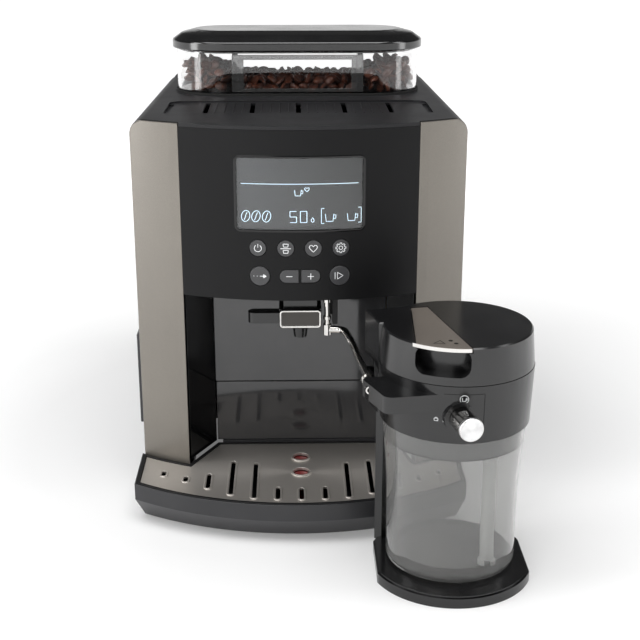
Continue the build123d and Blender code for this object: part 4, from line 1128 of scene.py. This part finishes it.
@dataclass
class Jug:
    """Milk jug: plinth, vessel, head, lid, lever and selector."""

    axis_mm: Point = (109.0, -256.0)
    drum_radii_mm: Point = (53.2, 54.9)
    drum_gap_mm: float = 0.2
    print_proud_mm: float = 0.05
    print_mm: float = 0.38
    seam_mm: float = 0.5
    seam: tuple[Point, ...] = ((94.0, 157.6), (121.5, 157.6), (121.5, 134.0))
    ring: tuple[float, float, float] = (107.6, 154.2, 2.9)
    symbols: tuple[Symbol, ...] = (
        Symbol(Icon.CUP, 107.6, 154.3, 1.9), Symbol(Icon.LOCK, 89.6, 139.0, 2.0),
        Symbol(Icon.STEAM, 95.6, 138.6, 2.1))
    wall_mm: float = 2.2
    floor_mm: float = 3.0
    rim_radius_mm: float = 51.0
    foot_outline: tuple[Point, ...] = ((0, 0), (41.5, 0), (44.6, 0.4), (46.6, 1.7))
    side_outline: tuple[Point, ...] = ((47.4, 4.2), (47.5, 40), (47.9, 62), (49.0, 80), (50.3, 95),
                                       (50.95, 106))
    lip_radius_mm: float = 52.75
    lip_ends_mm: Point = (-35.2, 2.6)
    lip_levels_mm: Point = (2.75, 0.25)
    lip_mm: float = 0.35
    lever_line_mm: float = 1.5
    lever_triangle: tuple[Point, ...] = ((-21.5, -41.5), (-16.5, -36.0), (-14.0, -42.5))
    lever_dots: tuple[Point, ...] = ((-9.5, -36.5), (-6.5, -42.0))
    cap_outline: tuple[Point, ...] = ((0.0, 21.8), (3.0, 21.8), (6.0, 21.8), (7.6, 21.75), (8.2, 21.2),
                                      (8.45, 20.4), (8.45, 18.6))

    def build(self) -> None:
        """Builds and dresses the jug."""
        for node, bevel in (("jug_plinth", 0.5), ("jug_collar", 0.5), ("jug_lid", 0.4),
                            ("lid_lever", 0.35), ("selector_knob", 0.4)):
            skin(node, bevel)
        self.vessel()
        self.lever_lip()
        self.lever_print()
        self.knob_cap()
        self.prints()

    def wrap(self, bm: bmesh.types.BMesh, flat: float = 0.15) -> bmesh.types.BMesh:
        """Lays a drawing in the XZ plane on the head's tapered drum.

        Args:
            bm: the drawing.
            flat: share of its depth that is kept.

        Returns:
            The same bmesh.
        """
        cx, cy = self.axis_mm
        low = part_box("milk_container")[1].z / MM + self.drum_gap_mm
        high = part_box("jug_collar")[1].z / MM
        narrow, wide = self.drum_radii_mm
        for vert in bm.verts:
            share = (vert.co.z / MM - low) / (high - low)
            radius = narrow + (wide - narrow) * share + self.print_proud_mm
            x = vert.co.x / MM - cx
            vert.co.y = (cy - math.sqrt(radius ** 2 - x ** 2)) * MM + vert.co.y * flat
        return bm

    def vessel(self) -> None:
        """Clear vessel: a thin wall that swells towards its rim, with a rounded foot."""
        base, rim = (corner.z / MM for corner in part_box("milk_container"))
        floor = self.floor_mm
        side = [*self.side_outline, (self.rim_radius_mm, rim - base)]
        inner = [(radius - self.wall_mm, height) for radius, height in side]
        profile = [*self.foot_outline, *side, *inner[::-1], (44.3, floor + 0.9), (42.0, floor), (0, floor)]
        bm = lathe([(radius, base + height) for radius, height in profile])
        x, y = self.axis_mm
        bmesh.ops.translate(bm, vec=(x * MM, y * MM, 0), verts=bm.verts)
        finish_piece("milk_vessel", bm, CLEAR_JUG, "jug", ["milk_container"])

    def lever_lip(self) -> None:
        """Bright strip along the lever's front edge."""
        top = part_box("lid_lever")[1].z
        axis = Vector((*self.axis_mm, 0)) * MM
        start, end = (math.asin(x / self.lip_radius_mm) for x in self.lip_ends_mm)
        bm = bmesh.new()
        foot = axis + Vector((math.sin(start), -math.cos(start), 0)) * self.lip_radius_mm * MM
        corners = [bm.verts.new((foot.x, foot.y, top - level * MM)) for level in self.lip_levels_mm]
        edge = bm.edges.new(corners)
        bmesh.ops.spin(bm, geom=[*corners, edge], cent=axis, axis=(0, 0, 1), angle=end - start, steps=24)
        bmesh.ops.solidify(bm, geom=list(bm.faces), thickness=-self.lip_mm * MM)
        finish_piece("lever_lip", bm, CHROME, "lever")

    def lever_print(self) -> None:
        """Small symbols printed on the lever: an open triangle and two rings."""
        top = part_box("lid_lever")[1].z
        cx, cy = self.axis_mm
        strokes = [[*self.lever_triangle, self.lever_triangle[0]]]
        strokes += [arc(x, z, 0.9, steps=10) for x, z in self.lever_dots]
        bm = tube_strokes(strokes, self.lever_line_mm)
        bmesh.ops.scale(bm, vec=(1, 0.1, 1), verts=bm.verts)
        bmesh.ops.rotate(bm, matrix=Matrix.Rotation(math.radians(90), 3, "X"), verts=bm.verts)
        for vert in bm.verts:
            vert.co = Vector((vert.co.x + cx * MM, cy * MM - vert.co.y, top + abs(vert.co.z) + 0.03 * MM))
        finish_piece("lever_print", bm, BLACK, "lever")

    def prints(self) -> None:
        """Small symbols around the selector, and the seam of the panel that it sits in."""
        strokes = [arc(*self.ring, steps=16)]
        for symbol in self.symbols:
            strokes += symbol.strokes()
        bm = self.wrap(tube_strokes(split(strokes, 0.8), self.print_mm))
        finish_piece("jug_prints", bm, PRINT, "jug_head")
        bm = self.wrap(tube_strokes(split([list(self.seam)], 1.0), self.seam_mm))
        finish_piece("jug_panel_seam", bm, SEAL, "jug_head")

    def knob_cap(self) -> None:
        """Spun metal cap on the selector's barrel."""
        joint = next(j for j in frame["joints"] if j["name"] == "selector_turn")
        bm = lathe(self.cap_outline, 64)
        turns = bm.loops.layers.uv.new(SPUN_MAP)
        for face in bm.faces:
            middle = face.calc_center_median()
            start = math.atan2(middle.y, middle.x)
            for loop in face.loops:
                spot = loop.vert.co
                away = math.atan2(spot.y, spot.x) - start if spot.xy.length > 1e-6 else 0.0
                away = (away + math.pi) % math.tau - math.pi
                loop[turns].uv = ((start + away) / math.tau, spot.xy.length / 0.01)
        turn = Vector(joint["axis"]).to_track_quat("Z", "Y").to_matrix().to_4x4()
        bm.transform(Matrix.Translation(joint["pos_m"]) @ turn)
        finish_piece("knob_cap", bm, SPUN, "selector")


@dataclass
class Rear:
    """Water tank and mains inlet."""

    def build(self) -> None:
        """Dresses the rear."""
        for node, bevel in (("water_tank", 0.5), ("tank_lid", 0.8), ("power_inlet", 0.3),
                            ("switch_rocker", 0.3)):
            skin(node, bevel)


# ------------------------------------------------------------------ studio
@dataclass
class Softbox:
    """A rectangular lamp aimed at a point."""

    name: str
    place: tuple[float, float, float]
    aim: tuple[float, float, float]
    size: tuple[float, float]
    power: float
    tint: str = "ffffff"

    def build(self) -> None:
        """Adds the lamp to the scene."""
        lamp = bpy.data.lights.new(self.name, "AREA")
        lamp.shape = "RECTANGLE"
        lamp.size, lamp.size_y = self.size
        lamp.energy = self.power
        lamp.color = linear(self.tint)[:3]
        obj = bpy.data.objects.new(self.name, lamp)
        obj.location = self.place
        obj.rotation_euler = (Vector(self.aim) - Vector(self.place)).to_track_quat("-Z", "Y").to_euler()
        bpy.context.scene.collection.objects.link(obj)


@dataclass
class Studio:
    """Pale floor, soft light and the camera."""

    lens: float = 68.39
    place: tuple[float, float, float] = (-0.0068, -1.0567, 0.4626)
    tilt: tuple[float, float, float] = (71.362, 0.0, -1.410)
    surround: str = "ffffff"
    behind: str = "444444"
    surround_strength: float = 1.0
    floor_half_m: float = 6.0
    ahead: Point = (-0.2, 0.5)
    lit_below: Point = (0.75, 0.5)
    lit_below_in_gloss: Point = (0.24, 0.1)
    boxes: tuple[Softbox, ...] = (
        Softbox("top box", (-0.1, -0.5, 1.7), (0, -0.15, 0.15), (1.8, 1.1), 24),
        Softbox("left strip", (-1.5, -0.5, 0.7), (0, -0.05, 0.15), (0.5, 1.5), 12),
        Softbox("right strip", (1.35, -0.35, 0.7), (0.05, -0.2, 0.15), (0.4, 1.5), 6),
        Softbox("front panel", (-0.9, -1.9, 0.9), (0, 0, 0.15), (1.2, 1.1), 12),
    )

    def build(self) -> None:
        """Sets up floor, light and camera."""
        bm = bmesh.new()
        bmesh.ops.create_grid(bm, x_segments=1, y_segments=1, size=self.floor_half_m)
        mesh = bpy.data.meshes.new("floor")
        bm.to_mesh(mesh)
        bm.free()
        floor = bpy.data.objects.new("floor", mesh)
        bpy.context.scene.collection.objects.link(floor)
        paint(floor, FloorFinish("floor_paper", "ffffff", "e0e0e0"))
        floor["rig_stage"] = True
        self.surroundings()
        bpy.context.scene.view_settings.view_transform = "Standard"
        for box in self.boxes:
            box.build()
        camera = bpy.data.cameras.new("camera")
        camera.lens = self.lens
        camera.sensor_width = 36.0
        holder = bpy.data.objects.new("camera", camera)
        holder.location = self.place
        holder.rotation_euler = [math.radians(a) for a in self.tilt]
        bpy.context.scene.collection.objects.link(holder)
        bpy.context.scene.camera = holder

    def surroundings(self) -> None:
        """Room that is white to the eye, and for other rays white only low down behind the object.

        Reflections see a narrower white band, so that black parts stay black.
        """
        world = bpy.data.worlds.new("surround")
        world.use_nodes = True
        tree = world.node_tree
        tree.nodes.clear()
        way = add(tree, "SeparateXYZ", {"Vector": add(tree, "TexCoord").outputs["Generated"]})
        ahead, low, band = (
            add(tree, "MapRange", {"Value": way.outputs[axis]}, {"From Min": start, "From Max": end})
            for axis, (start, end) in (
                ("Y", self.ahead), ("Z", self.lit_below), ("Z", self.lit_below_in_gloss)))
        ray = add(tree, "LightPath").outputs
        height = add(tree, "Mix", {
            0: ray["Is Glossy Ray"], 2: low.outputs["Result"], 3: band.outputs["Result"]})
        lit = add(tree, "Math", {0: ahead.outputs["Result"], 1: height.outputs[0]}, operation="MULTIPLY")
        share = add(tree, "Math", {0: lit.outputs["Value"], 1: ray["Is Camera Ray"]}, operation="MAXIMUM")
        mix = add(tree, "Mix", {0: share.outputs["Value"]}, data_type="RGBA")
        mix.inputs[6].default_value = linear(self.behind)
        mix.inputs[7].default_value = linear(self.surround)
        back = add(tree, "Background", {"Color": mix.outputs[2]}, {"Strength": self.surround_strength})
        add(tree, "OutputWorld", {"Surface": back.outputs["Background"]})
        bpy.context.scene.world = world


def dress_frame() -> None:
    """Gives every CAD node the finish of its material slot."""
    for name, obj in frame["nodes"].items():
        paint(obj, BY_SLOT[SLOT_OF[name]])


def write_size(key: str, sizes: dict[str, list]) -> None:
    """Args:
        key: the name that the box goes under.
        sizes: the boxes noted so far, which get this one too.
    """
    low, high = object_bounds()
    sizes[key] = [list(low), list(high)]


def main() -> None:
    """Builds every sub-assembly in order, then the studio."""
    logging.basicConfig(level=logging.INFO, format="%(message)s")
    sizes: dict[str, list] = {}
    write_size("frame", sizes)
    dress_frame()
    for part in (Housing(), ControlPanel(), CupSpace(), Tray(), Hopper(), Jug(), Rear()):
        part.build()
        log.info("built %s", type(part).__name__)
    Studio().build()
    bpy.context.view_layer.update()
    write_size("visual", sizes)


if __name__ == "__main__":
    main()
